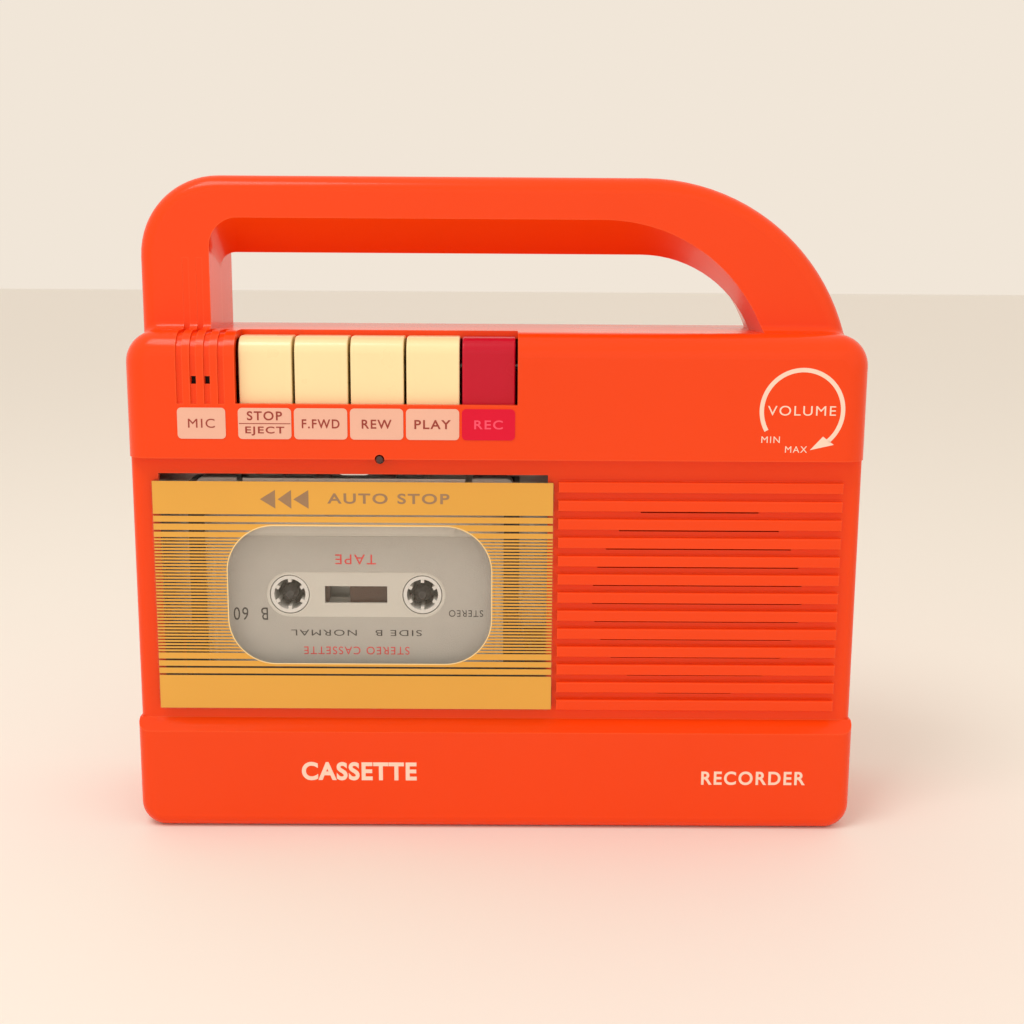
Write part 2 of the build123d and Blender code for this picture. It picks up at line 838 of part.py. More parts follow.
with BuildPart() as rear_housing:
    add(rear_outer)
    add(rear_handle)
    add(rear_inner, mode=Mode.SUBTRACT)
    add(rear_core, mode=Mode.SUBTRACT)
    for x_low, x_high in [(-box_end - battery_wall, -box_end), (box_end, box_end + battery_wall)]:
        slab((x_low, parting_y, wall - touch), (x_high, rear_y - wall + touch, box_top + battery_wall))
    slab((-box_end, parting_y, box_top), (box_end, rear_y - wall + touch, box_top + battery_wall))
    slab((-box_end, parting_y, wall - touch), (box_end, parting_y + battery_wall, box_top))
    for x, z, seat_y, outer_y, inner_y in rear_screws:
        bar(x, z, rear_boss_radius, parting_y, inner_y + touch)
        bar(x, z, screw_radius + touch, parting_y - past, outer_y, mode=Mode.SUBTRACT)
        bar(x, z, screw_head_radius + sliding, seat_y, outer_y + past, mode=Mode.SUBTRACT)
    for x, z in board_posts:
        bar(x, z, board_post_radius, board_back_y, rear_y - wall + touch)
    slab((-cover_half, cover_front_y, -past), (cover_half, rear_y + past, cover_top), mode=Mode.SUBTRACT)
    for z in jack_heights:
        cross_bar(jack_y, z, jack_nose + touch, half_width - wall - past, half_width + past,
                  mode=Mode.SUBTRACT)
    cross_bar(jack_y, power_jack_z, power_nose + touch, half_width - wall - past, half_width + past,
              mode=Mode.SUBTRACT)
save(rear_housing.part, "rear_housing")

# Battery cover: the piece of the rear shell that closes the battery box and wraps its bottom edge
with BuildPart() as battery_cover:
    add(rear_outer)
    add(rear_inner, mode=Mode.SUBTRACT)
    slab((-cover_half + sliding, cover_front_y + sliding, -past),
         (cover_half - sliding, rear_y + past, cover_top - sliding), mode=Mode.INTERSECT)
    for index in range(thumb_ridge_count):
        ridge_high = cover_top - thumb_ridge_drop - index * thumb_ridge_pitch
        slab((-thumb_ridge_half, rear_y - touch, ridge_high - thumb_ridge_width),
             (thumb_ridge_half, rear_y + relief, ridge_high))
save(battery_cover.part, "battery_cover")

# Case screws: pan heads in the rear counterbores, shanks into the front bosses
with BuildPart() as case_screws:
    for x, z, seat_y, outer_y, inner_y in rear_screws:
        bar(x, z, screw_radius, parting_y - screw_grip + screw_tip_gap, seat_y)
        bar(x, z, screw_head_radius, seat_y, seat_y + screw_head_thickness)
save(case_screws.part, "case_screws")

# Batteries: four round cells end to end, and the contacts at the two ends of the box
with BuildPart() as batteries:
    for index in range(cell_count):
        cell_x = cells_left + index * cell_length
        nub_x = cell_x + cell_length - cell_nub
        cross_bar(cell_y, cell_z, cell_radius, cell_x, nub_x)
        cross_bar(cell_y, cell_z, cell_nub_radius, nub_x, cell_x + cell_length - touch)
save(batteries.part, "batteries")

contact_face = box_end - contact_sheet
spring_start = -contact_face + contact_wire - contact_bury
spring_length = contact_gap - contact_sheet - 2 * contact_wire - touch
with BuildPart() as battery_contacts:
    slab((contact_face, cell_y - contact_half, cell_z - contact_half),
         (box_end, cell_y + contact_half, cell_z + contact_half))
    cross_bar(cell_y, cell_z, cell_nub_radius, box_end - contact_gap + touch, contact_face)
    slab((-box_end, cell_y - contact_half, cell_z - contact_half),
         (-contact_face, cell_y + contact_half, cell_z + contact_half))
    with BuildLine() as coil:
        Helix(contact_spring_pitch, spring_length, contact_spring_radius,
              center=(spring_start, cell_y, cell_z), direction=(1, 0, 0), cone_angle=contact_spring_cone)
    with BuildSketch(Plane(origin=coil.line @ 0, z_dir=coil.line % 0)) as wire_section:
        Circle(contact_wire)
    sweep(wire_section.sketch, path=coil.line)
save(battery_contacts.part, "battery_contacts")

# Labels under the keys and the microphone: thin plates let onto the front face
label_low = key_opening_low - label_drop - label_height
mic_label_left = mic_left - mic_groove_width / 2


def label_plate(x_low, x_high):
    """One rounded plate on the front face."""
    with BuildSketch(Plane.XZ.offset(-front_y)) as plate:
        with Locations(((x_low + x_high) / 2, label_low + label_height / 2)):
            RectangleRounded(x_high - x_low, label_height, label_corner)
    extrude(plate.sketch, amount=label_thickness)


with BuildPart() as control_labels:
    label_plate(mic_label_left, mic_label_left + mic_label_width)
    for x in key_centres[:-1]:
        label_plate(x - key_half, x + key_half)
save(control_labels.part, "control_labels")

with BuildPart() as record_label:
    label_plate(key_centres[-1] - key_half, key_centres[-1] + key_half)
save(record_label.part, "record_label")

# Record lamp: a small round lens in the lower edge of the control panel, flanged behind the recess wall
lamp_flange_radius = lamp_radius + lamp_flange
with BuildPart() as record_lamp:
    turned([(0, front_y - relief), (lamp_dome_radius, front_y), (lamp_radius, front_y + lamp_shoulder),
            (lamp_radius, recess_inner_y), (lamp_flange_radius, recess_inner_y),
            (lamp_flange_radius, recess_inner_y + lamp_flange_thickness),
            (0, recess_inner_y + lamp_flange_thickness)], lamp_x, panel_low)
save(record_lamp.part, "record_lamp")

# Microphone capsule behind its two holes
with BuildPart() as microphone:
    mic_x = mic_left + (mic_groove_count - 1) / 2 * mic_groove_pitch
    bar(mic_x, mic_hole_z, mic_radius, front_y + wall, front_y + wall + mic_length)
save(microphone.part, "microphone")

# Keys: moulded caps on levers that turn on one shaft; their skirts pass behind the panel
key_low = key_opening_low - key_skirt_overlap
key_rear_y = key_opening_rear - sliding
key_round = edge_round - wall


def cap_outline(low, inset):
    """Open outline of the cap from its skirt to its rear edge, shrunk by inset."""
    y_front = key_front_y + inset
    top = key_top_z - inset
    rounding = key_round - inset
    Line((y_front, low), (y_front, top - rounding))
    arc_about(y_front + rounding, top - rounding, rounding, pi, pi / 2)
    Line((y_front + rounding, top), (key_rear_y, top))


def key(x_centre, name):
    """One key: cap skin, two side webs, and the lever with its bore."""
    with BuildPart() as piece:
        with BuildSketch(Plane.YZ.offset(x_centre - key_half)) as solid_cap:
            with BuildLine():
                cap_outline(key_low, 0)
                Polyline((key_rear_y, key_top_z), (key_rear_y, key_top_z - key_rear_drop),
                         (key_front_y + key_skirt_depth, key_low), (key_front_y, key_low))
            make_face()
        extrude(solid_cap.sketch, amount=2 * key_half)
        edges = piece.edges()
        rims = edges.filter_by_position(Axis.X, x_centre - key_half - touch, x_centre - key_half + touch)
        rims += edges.filter_by_position(Axis.X, x_centre + key_half - touch, x_centre + key_half + touch)
        front_limit = key_front_y + key_round / 2
        rims = ShapeList([e for e in rims if e.center().Z > key_low + touch
                          and e.center().Y < key_rear_y - touch
                          and (e.center().Y < front_limit or e.center().Z > key_top_z - touch)])
        fillet(rims, key_edge_round)
        with BuildSketch(Plane.YZ.offset(x_centre - key_half + key_web)) as hollow:
            with BuildLine():
                cap_outline(key_low - past, key_skin)
                Polyline((key_rear_y, key_top_z - key_skin), (key_rear_y + past, key_top_z - key_skin),
                         (key_rear_y + past, key_low - past), (key_front_y + key_skin, key_low - past))
            make_face()
        extrude(hollow.sketch, amount=2 * (key_half - key_web), mode=Mode.SUBTRACT)
        lever_front = key_front_y + key_lever_bury
        lever_top = key_top_z - key_lever_bury
        across([(lever_front, key_top_z - key_round - key_lever_drop), (lever_front, key_top_z - key_round),
                (key_front_y + key_round, lever_top), (key_rear_y, lever_top),
                (key_rear_y, case_height - wall - key_lever_bury),
                (key_shaft_y, key_shaft_z + key_boss_radius), (key_shaft_y, key_shaft_z - key_boss_radius)],
               x_centre - key_lever_half, x_centre + key_lever_half)
        cross_bar(key_shaft_y, key_shaft_z, key_boss_radius,
                  x_centre - key_lever_half, x_centre + key_lever_half)
        cross_bar(key_shaft_y, key_shaft_z, key_shaft_radius + running,
                  x_centre - key_half, x_centre + key_half, mode=Mode.SUBTRACT)
    save(piece.part, name)


key_names = ["stop_eject_key", "fast_forward_key", "rewind_key", "play_key", "record_key"]
for x, name in zip(key_centres, key_names):
    key(x, name)

with BuildPart() as key_shaft:
    cross_bar(key_shaft_y, key_shaft_z, key_shaft_radius, key_ear_spans[0][0], key_ear_spans[1][1])
save(key_shaft.part, "key_shaft")

# Key return springs: one wire coil on the shaft beside each lever
with BuildPart() as key_springs:
    for x in key_centres:
        start_x = x + key_lever_half + 2 * spring_wire
        with BuildLine() as turns:
            Helix(spring_pitch, spring_turns * spring_pitch, key_shaft_radius + sliding + spring_wire,
                  center=(start_x, key_shaft_y, key_shaft_z), direction=(1, 0, 0))
        with BuildSketch(Plane(origin=turns.line @ 0, z_dir=turns.line % 0)) as wire_section:
            Circle(spring_wire)
        sweep(wire_section.sketch, path=turns.line)
save(key_springs.part, "key_springs")

# Door: clear printed lens on the cassette holder, which turns on two pins below the well
with BuildPart() as door_lens:
    slab((door_left, lens_y, lens_low), (door_right, recess_y, lens_high))
    fillet(door_lens.edges().filter_by(Axis.Y), lens_corner)
save(door_lens.part, "door_lens")

holder_back_y = cassette_head_back_y + cassette_clearance + holder_back_sheet
pocket_front_y = cassette_y - cassette_head_thickness / 2 - cassette_clearance
pocket_back_y = cassette_head_back_y + cassette_clearance
pocket_half = cassette_width / 2 + cassette_clearance
holder_half = pocket_half + holder_side
pocket_low = cassette_low - touch
window_half = cassette_width / 2 - holder_lip
arm_spans = [(cassette_x - holder_half - hinge_arm, cassette_x - holder_half),
             (cassette_x + holder_half, cassette_x + holder_half + hinge_arm)]

with BuildPart() as cassette_holder:
    slab((cassette_x - holder_half, recess_y, pocket_low - holder_floor),
         (cassette_x + holder_half, holder_back_y, cassette_high - holder_top_gap))
    slab((cassette_x - pocket_half, pocket_front_y, pocket_low),
         (cassette_x + pocket_half, pocket_back_y, cassette_high), mode=Mode.SUBTRACT)
    slab((cassette_x - window_half, recess_y - past, pocket_low + holder_lip),
         (cassette_x + window_half, holder_back_y + past, cassette_high), mode=Mode.SUBTRACT)
    for x_low, x_high in arm_spans:
        across([(hinge_y + arm_web_offset, hinge_z), (hinge_y + arm_web_offset, pocket_low),
                (recess_y, pocket_low + arm_foot_lift), (recess_y, pocket_low + arm_height),
                (holder_back_y, pocket_low + arm_height), (holder_back_y, pocket_low - holder_floor),
                (hinge_y + hinge_boss_radius, hinge_z)], x_low, x_high)
        cross_bar(hinge_y, hinge_z, hinge_boss_radius, x_low, x_high)
        cross_bar(hinge_y, hinge_z, hinge_pin_radius + running, x_low - past, x_high + past,
                  mode=Mode.SUBTRACT)
save(cassette_holder.part, "cassette_holder")

with BuildPart() as door_hinge_pins:
    cross_bar(hinge_y, hinge_z, hinge_pin_radius, hinge_ear_spans[0][0], arm_spans[0][1])
    cross_bar(hinge_y, hinge_z, hinge_pin_radius, arm_spans[1][0], hinge_ear_spans[1][1])
save(door_hinge_pins.part, "door_hinge_pins")

# Cassette: two moulded halves with hub holes, tape window and the openings along the tape edge
hub_hole = hub_collar_radius + sliding
head_openings = [(0.0, head_opening_half),
                 (-guide_opening_offset, guide_opening_half), (guide_opening_offset, guide_opening_half),
                 (-capstan_offset, capstan_opening_half), (capstan_offset, capstan_opening_half)]


def cassette_half(side):
    """Half of the cassette shell; side is -1 for the front half and 1 for the rear half."""
    face_y = cassette_y + side * cassette_thickness / 2
    bulge_y = cassette_y + side * cassette_head_thickness / 2
    with BuildPart() as piece:
        with BuildSketch(Plane.XZ.offset(-cassette_y)) as outline:
            with Locations((cassette_x, (cassette_low + cassette_high) / 2)):
                RectangleRounded(cassette_width, cassette_height, cassette_corner)
        extrude(outline.sketch, amount=-side * cassette_thickness / 2)
        with BuildSketch(Plane.XZ.offset(-cassette_y)) as bulge:
            with BuildLine():
                Polyline((cassette_x - bulge_half_top, cassette_high),
                         (cassette_x + bulge_half_top, cassette_high),
                         (cassette_x + bulge_half_low, cassette_high - cassette_head_band),
                         (cassette_x - bulge_half_low, cassette_high - cassette_head_band), close=True)
            make_face()
        extrude(bulge.sketch, amount=-side * cassette_head_thickness / 2)
        rim = piece.edges().filter_by_position(Axis.Y, face_y - touch, face_y + touch)
        rim = ShapeList([e for e in rim if abs(e.center().Z - cassette_low) < touch])
        fillet(rim, cassette_edge_round)
        inner = sorted([cassette_y, face_y - side * cassette_wall])
        slab((cassette_x - cassette_width / 2 + cassette_wall, inner[0], cassette_low + cassette_wall),
             (cassette_x + cassette_width / 2 - cassette_wall, inner[1], cassette_high - cassette_wall),
             mode=Mode.SUBTRACT)
        low_y, high_y = sorted([cassette_y, bulge_y - side * cassette_wall])
        for offset_x, half in head_openings:
            slab((cassette_x + offset_x - half, low_y, cassette_high - head_opening_depth),
                 (cassette_x + offset_x + half, high_y, cassette_high + past), mode=Mode.SUBTRACT)
        low_y, high_y = sorted([cassette_y, bulge_y + side * past])
        for x in (takeup_x, supply_x):
            bar(x, hub_z, hub_hole, low_y, high_y, mode=Mode.SUBTRACT)
        for offset_x in (-capstan_offset, capstan_offset):
            bar(cassette_x + offset_x, capstan_z, capstan_hole_radius, low_y, high_y, mode=Mode.SUBTRACT)
        slab((cassette_x - tape_window_width / 2, low_y, hub_z - tape_window_height / 2),
             (cassette_x + tape_window_width / 2, high_y, hub_z + tape_window_height / 2), mode=Mode.SUBTRACT)
        for x, z in cassette_screw_places:
            bar(x, z, cassette_post_radius, inner[0], inner[1])
            bar(x, z, cassette_screw_radius, low_y - past, high_y, mode=Mode.SUBTRACT)
    return piece.part


save(cassette_half(-1), "cassette_front_shell")
save(cassette_half(1), "cassette_rear_shell")

with BuildPart() as cassette_screws:
    for x, z in cassette_screw_places:
        head_y = cassette_face_y + cassette_screw_sink
        bar(x, z, cassette_screw_radius - touch, head_y, cassette_back_y - cassette_screw_end)
save(cassette_screws.part, "cassette_screws")

with BuildPart() as cassette_label:
    with BuildSketch(Plane.XZ.offset(-cassette_face_y)) as label:
        with Locations((cassette_x, cassette_low + label_paper_lift + label_paper_height / 2)):
            RectangleRounded(label_paper_width, label_paper_height, label_paper_corner)
        with Locations((cassette_x, hub_z)):
            SlotOverall(hub_spacing + 2 * label_slot_radius, 2 * label_slot_radius, mode=Mode.SUBTRACT)
    extrude(label.sketch, amount=label_paper)
save(cassette_label.part, "cassette_label")


def hub(x, name):
    """A toothed tape hub, free to turn in the shell."""
    front = cassette_face_y + hub_end_gap
    back = cassette_back_y - hub_end_gap
    flange_half = tape_width / 2 + hub_flange_lap
    with BuildPart() as piece:
        turned([(hub_bore, front), (hub_collar_radius, front), (hub_collar_radius, cassette_y - flange_half),
                (hub_radius, cassette_y - flange_half), (hub_radius, cassette_y + flange_half),
                (hub_collar_radius, cassette_y + flange_half), (hub_collar_radius, back), (hub_bore, back)],
               x, hub_z)
        for index in range(hub_tooth_count):
            angle = 2 * pi * (index + 0.5) / hub_tooth_count
            middle = (hub_bore + hub_tooth_bury + hub_tooth_tip) / 2
            with BuildSketch(Plane.XZ.offset(-(back - hub_end_gap))) as tooth:
                with Locations(Location((x + middle * cos(angle), hub_z + middle * sin(angle), 0),
                                        (0, 0, degrees(angle)))):
                    Rectangle(hub_bore + hub_tooth_bury - hub_tooth_tip, hub_tooth_width)
            extrude(tooth.sketch, amount=back - front - 2 * hub_end_gap)
    save(piece.part, name)


def tape_pack(x, radius, name):
    """Wound tape on a hub."""
    with BuildPart() as piece:
        turned([(hub_radius, cassette_y - tape_width / 2), (radius, cassette_y - tape_width / 2),
                (radius, cassette_y + tape_width / 2), (hub_radius, cassette_y + tape_width / 2)], x, hub_z)
    save(piece.part, name)


hub(takeup_x, "left_hub")
hub(supply_x, "right_hub")
tape_pack(takeup_x, left_pack_radius, "left_tape_pack")
tape_pack(supply_x, right_pack_radius, "right_tape_pack")

# Deck plate on its posts, with the bores for the spindles, the capstan bush and the pins
idler_span = hypot(takeup_x - capstan_x, hub_z - capstan_z)
idler_radius = (idler_span - pinion_radius - takeup_wheel_radius) / 2 - touch
idler_share = (pinion_radius + idler_radius + touch) / idler_span
idler_x = capstan_x + (takeup_x - capstan_x) * idler_share
idler_z = capstan_z + (hub_z - capstan_z) * idler_share
carriage_pins = [(cassette_x - guide_left, cassette_high + guide_left_rise),
                 (cassette_x + guide_right, cassette_high + guide_right_rise)]
bracket_reach = flywheel_radius + bracket_post_gap
bracket_posts = [(capstan_x - bracket_reach, capstan_z), (capstan_x + bracket_reach, capstan_z)]
motor_posts = [(motor_x + motor_post_right, motor_z + motor_post_rise),
               (motor_x + motor_post_right, motor_z - motor_post_rise),
               (motor_x - motor_post_left, motor_z - motor_post_drop)]

with BuildPart() as deck_plate:
    slab((deck_left, deck_y, deck_low), (deck_right, deck_back_y, deck_high))
    for x in (takeup_x, supply_x):
        bar(x, hub_z, spindle_shaft_radius + running, deck_y - past, deck_back_y + past, mode=Mode.SUBTRACT)
    bar(capstan_x, capstan_z, capstan_bush_radius + touch, deck_y - past, deck_back_y + past,
        mode=Mode.SUBTRACT)
    bar(idler_x, idler_z, pin_radius + touch, deck_y - past, deck_back_y + past, mode=Mode.SUBTRACT)
    for x, z in carriage_pins:
        bar(x, z, carriage_pin_radius + touch, deck_y - past, deck_back_y + past, mode=Mode.SUBTRACT)
    for x, z in deck_posts:
        bar(x, z, pin_radius + touch, deck_y - past, deck_back_y + past, mode=Mode.SUBTRACT)
save(deck_plate.part, "deck_plate")

with BuildPart() as deck_screws:
    for x, z in deck_posts:
        bar(x, z, pin_radius, deck_y - deck_screw_grip + touch, deck_back_y + touch)
        bar(x, z, deck_screw_head_radius, deck_back_y, deck_back_y + deck_screw_head)
save(deck_screws.part, "deck_screws")

with BuildPart() as capstan_bush:
    turned([(capstan_radius + running, deck_y - bush_nose), (capstan_bush_radius, deck_y - bush_nose),
            (capstan_bush_radius, wheel_front_y - bush_end_gap),
            (capstan_radius + running, wheel_front_y - bush_end_gap)], capstan_x, capstan_z)
save(capstan_bush.part, "capstan_bush")

rim_bore = flywheel_radius - flywheel_rim
groove_radius = flywheel_radius - belt_groove_depth
web_front_y = flywheel_front_y + flywheel_web_inset
web_back_y = flywheel_back_y - flywheel_web_inset
hub_end_y = flywheel_back_y + flywheel_hub_rise
with BuildPart() as flywheel:
    turned([(capstan_radius, wheel_front_y), (pinion_radius, wheel_front_y), (pinion_radius, wheel_back_y),
            (pinion_neck_radius, wheel_back_y), (pinion_neck_radius, web_front_y), (rim_bore, web_front_y),
            (rim_bore, flywheel_front_y), (flywheel_radius, flywheel_front_y),
            (flywheel_radius, belt_y - belt_groove_half), (groove_radius, belt_y - belt_groove_half),
            (groove_radius, belt_y + belt_groove_half), (flywheel_radius, belt_y + belt_groove_half),
            (flywheel_radius, flywheel_back_y), (rim_bore, flywheel_back_y), (rim_bore, web_back_y),
            (flywheel_hub_radius, web_back_y), (flywheel_hub_radius, hub_end_y), (capstan_radius, hub_end_y)],
           capstan_x, capstan_z)
save(flywheel.part, "flywheel")

with BuildPart() as capstan:
    bar(capstan_x, capstan_z, capstan_radius, cassette_y - capstan_nose, flywheel_back_y + capstan_tail)
save(capstan.part, "capstan")

with BuildPart() as flywheel_bracket:
    slab((bracket_posts[0][0] - bracket_end, motor_plate_y, capstan_z - bracket_half),
         (bracket_posts[1][0] + bracket_end, motor_plate_y + deck_sheet, capstan_z + bracket_half))
    for x, z in bracket_posts:
        bar(x, z, post_radius, deck_back_y, motor_plate_y)
save(flywheel_bracket.part, "flywheel_bracket")

motor_face_y = motor_plate_y + motor_plate_sheet
with BuildPart() as motor_bracket:
    slab((motor_x - motor_plate_left, motor_plate_y, motor_z - motor_plate_drop),
         (motor_x + motor_plate_right, motor_face_y, motor_z + motor_plate_rise))
    for x, z in motor_posts:
        bar(x, z, post_radius, deck_back_y, motor_plate_y)
    bar(motor_x, motor_z, motor_nose_radius + motor_nose_gap, motor_plate_y - past, motor_face_y + past,
        mode=Mode.SUBTRACT)
save(motor_bracket.part, "motor_bracket")

motor_end_y = motor_plate_y + motor_length + motor_edge
motor_bore = motor_shaft_radius + running
motor_bore_y = motor_plate_y + motor_shaft_depth
with BuildPart() as drive_motor:
    turned([(motor_bore, motor_plate_y + motor_nose_gap), (motor_nose_radius, motor_plate_y + motor_nose_gap),
            (motor_nose_radius, motor_face_y), (motor_radius - motor_edge, motor_face_y),
            (motor_radius, motor_face_y + motor_edge), (motor_radius, motor_plate_y + motor_length),
            (motor_radius - motor_back_edge, motor_end_y), (0, motor_end_y), (0, motor_bore_y),
            (motor_bore, motor_bore_y)], motor_x, motor_z)
save(drive_motor.part, "drive_motor")

flange_radius = pulley_radius + pulley_flange
with BuildPart() as motor_pulley:
    turned([(0, belt_y - pulley_half), (flange_radius, belt_y - pulley_half),
            (flange_radius, belt_y - belt_groove_half), (pulley_radius, belt_y - belt_groove_half),
            (pulley_radius, belt_y + belt_groove_half), (flange_radius, belt_y + belt_groove_half),
            (flange_radius, belt_y + pulley_half), (motor_shaft_radius, belt_y + pulley_half),
            (motor_shaft_radius, motor_bore_y - shaft_end_gap), (0, motor_bore_y - shaft_end_gap)],
           motor_x, motor_z)
save(motor_pulley.part, "motor_pulley")


def belt_loop(rise):
    """The belt's outline round both grooves, standing off their floors by rise."""
    with BuildSketch(Plane.XZ.offset(-(belt_y - belt_thickness / 2))) as loop:
        with Locations((capstan_x, capstan_z)):
            Circle(groove_radius + rise)
        with Locations((motor_x, motor_z)):
            Circle(pulley_radius + rise)
        make_hull()
    return loop.sketch


with BuildPart() as drive_belt:
    extrude(belt_loop(running + belt_thickness), amount=-belt_thickness)
    extrude(belt_loop(running), amount=-belt_thickness, mode=Mode.SUBTRACT)
save(drive_belt.part, "drive_belt")



def spindle(x, name):
    """A reel spindle: tapered nose, three fins between the hub teeth, a table and a shaft."""
    nose_y = cassette_face_y + spindle_nose_gap
    table_y = deck_y - table_gap
    end_y = wheel_back_y + spindle_tail
    with BuildPart() as piece:
        turned([(0, nose_y), (spindle_nose_radius, nose_y), (spindle_radius, nose_y + spindle_nose_length),
                (spindle_radius, table_y - table_thickness), (table_radius, table_y - table_thickness),
                (table_radius, table_y), (spindle_shaft_radius, table_y), (spindle_shaft_radius, end_y),
                (0, end_y)], x, hub_z)
        root = spindle_radius - fin_bury
        for index in range(fin_count):
            angle = 2 * pi * index / fin_count
            middle = (root + spindle_fin_radius) / 2
            with BuildSketch(Plane.XZ.offset(-(cassette_back_y + fin_behind))) as fin:
                with Locations(Location((x + middle * cos(angle), hub_z + middle * sin(angle), 0),
                                        (0, 0, degrees(angle)))):
                    Rectangle(spindle_fin_radius - root, fin_thickness)
            extrude(fin.sketch, amount=fin_length)
    save(piece.part, name)


spindle(takeup_x, "takeup_spindle")
spindle(supply_x, "supply_spindle")


def drive_wheel(x, z, bore, radius, name):
    """A flat wheel of the reel drive."""
    with BuildPart() as piece:
        turned([(bore, wheel_front_y), (radius, wheel_front_y), (radius, wheel_back_y), (bore, wheel_back_y)],
               x, z)
    save(piece.part, name)


drive_wheel(takeup_x, hub_z, spindle_shaft_radius, takeup_wheel_radius, "takeup_wheel")
drive_wheel(supply_x, hub_z, spindle_shaft_radius, brake_wheel_radius, "supply_brake_wheel")
drive_wheel(idler_x, idler_z, pin_radius + running, idler_radius, "idler_wheel")


# Head carriage: sheet plate that the play key pushes down, with both heads and the pinch roller
carriage_y = deck_y - sliding - carriage_sheet
carriage_low = cassette_high + carriage_low_gap
carriage_high = deck_high - carriage_high_gap
head_low = cassette_high + head_rest_gap
head_top = head_low + head_height
mount_low = cassette_high + head_travel + mount_gap
head_y_low = cassette_y - head_block / 2
head_y_high = cassette_y + head_block / 2
pinch_z = capstan_z + capstan_radius + tape_gap + pinch_roller_radius + head_travel
bush_slot_half = capstan_bush_radius + bush_slot_gap
pin_slot_half = carriage_pin_radius + pin_slot_gap
tab_x = key_centres[key_names.index("play_key")]
tab_top = key_low - sliding

with BuildPart() as head_carriage:
    slab((capstan_x - carriage_left_reach, carriage_y, carriage_low),
         (cassette_x + carriage_right_reach, carriage_y + carriage_sheet, carriage_high))
    slab((capstan_x - bush_slot_half, carriage_y - past, carriage_low - past),
         (capstan_x + bush_slot_half, deck_y, capstan_z + capstan_bush_radius + head_travel + mount_gap),
         mode=Mode.SUBTRACT)
    slab((cassette_x - mount_left, head_y_high, mount_low),
         (cassette_x + mount_right, carriage_y + touch, head_top))
    for x, z in carriage_pins:
        slab((x - pin_slot_half, head_y_high - past, z - pin_slot_half),
             (x + pin_slot_half, deck_y, z + pin_slot_half + head_travel), mode=Mode.SUBTRACT)
    slab((tab_x - tab_half, carriage_y, carriage_high - past),
         (tab_x + tab_half, carriage_y + carriage_sheet, tab_top))
    slab((tab_x - tab_half, key_front_y + tab_front_gap, tab_top - carriage_sheet),
         (tab_x + tab_half, carriage_y + carriage_sheet, tab_top))
save(head_carriage.part, "head_carriage")

with BuildPart() as record_play_head:
    slab((cassette_x - head_half, head_y_low, head_low), (cassette_x + head_half, head_y_high, head_top))
    fillet(record_play_head.edges().filter_by(Axis.Y).group_by(Axis.Z)[0], head_nose_round)
save(record_play_head.part, "record_play_head")

with BuildPart() as erase_head:
    slab((cassette_x + erase_left, head_y_low + erase_set_back, head_low),
         (cassette_x + erase_right, head_y_high, head_top - erase_shorter))
    fillet(erase_head.edges().filter_by(Axis.Y).group_by(Axis.Z)[0], erase_nose_round)
save(erase_head.part, "erase_head")

guide_head_y = carriage_y - guide_head_gap
with BuildPart() as deck_pins:
    bar(idler_x, idler_z, pin_radius, deck_y, wheel_back_y + idler_pin_end)
    for x, z in carriage_pins:
        bar(x, z, carriage_pin_radius, guide_head_y, deck_back_y)
        bar(x, z, carriage_pin_radius + guide_head_lap, guide_head_y - guide_head_thickness, guide_head_y)
save(deck_pins.part, "deck_pins")

pinch_head_y = cassette_y - pinch_half - pinch_head_gap
with BuildPart() as pinch_pin:
    bar(capstan_x, pinch_z, pin_radius, pinch_head_y, carriage_y)
    bar(capstan_x, pinch_z, pin_radius + pinch_head_lap, pinch_head_y - pinch_head_thickness,
        pinch_head_y + touch)
save(pinch_pin.part, "pinch_roller_pin")

with BuildPart() as pinch_roller:
    turned([(pin_radius + running, cassette_y - pinch_half), (pinch_roller_radius, cassette_y - pinch_half),
            (pinch_roller_radius, cassette_y + pinch_half), (pin_radius + running, cassette_y + pinch_half)],
           capstan_x, pinch_z)
save(pinch_roller.part, "pinch_roller")


# Loudspeaker behind the grille: basket, cone with its voice coil and dust cap, and magnet
coil_gap_radius = coil_radius + coil_gap
basket_back_y = recess_inner_y + basket_depth
with BuildPart() as speaker_basket:
    turned([(speaker_radius, recess_inner_y), (speaker_radius, recess_inner_y + basket_sheet),
            (speaker_radius - basket_rim, recess_inner_y + basket_sheet),
            (magnet_radius + basket_lap, basket_back_y - basket_sheet),
            (magnet_radius + basket_lap, basket_back_y), (coil_gap_radius, basket_back_y),
            (coil_gap_radius, basket_back_y - basket_floor),
            (magnet_radius - coil_gap, basket_back_y - basket_floor),
            (speaker_cone_radius, recess_inner_y + basket_throat), (speaker_cone_radius, recess_inner_y)],
           speaker_x, speaker_z)
save(speaker_basket.part, "speaker_basket")

cone_rim = speaker_cone_radius - cone_edge_gap
cone_fold = speaker_cone_radius - surround_width
cone_front_y = recess_inner_y + cone_front
coil_bore = coil_radius - coil_wall
cone_root_y = recess_inner_y + cone_depth
cap_root_y = cone_root_y - cone_thickness
cap_tip_y = recess_inner_y + cap_depth
with BuildPart() as speaker_cone:
    turned([(cone_rim, cone_front_y), (cone_rim, cone_front_y + cone_paper),
            (cone_fold, cone_front_y + surround_rise), (coil_radius, cone_root_y),
            (coil_radius, recess_inner_y + coil_end), (coil_bore, recess_inner_y + coil_end),
            (coil_bore, cap_root_y), (cone_fold - cone_slant, cone_front_y + surround_rise - cone_paper)],
           speaker_x, speaker_z)
    turned([(0, cap_tip_y), (cap_shoulder_radius, cap_tip_y + cap_shoulder_rise), (coil_bore, cap_root_y),
            (coil_bore, cap_root_y + cap_sheet),
            (cap_shoulder_radius, cap_tip_y + cap_shoulder_rise + cap_sheet), (0, cap_tip_y + cap_sheet)],
           speaker_x, speaker_z)
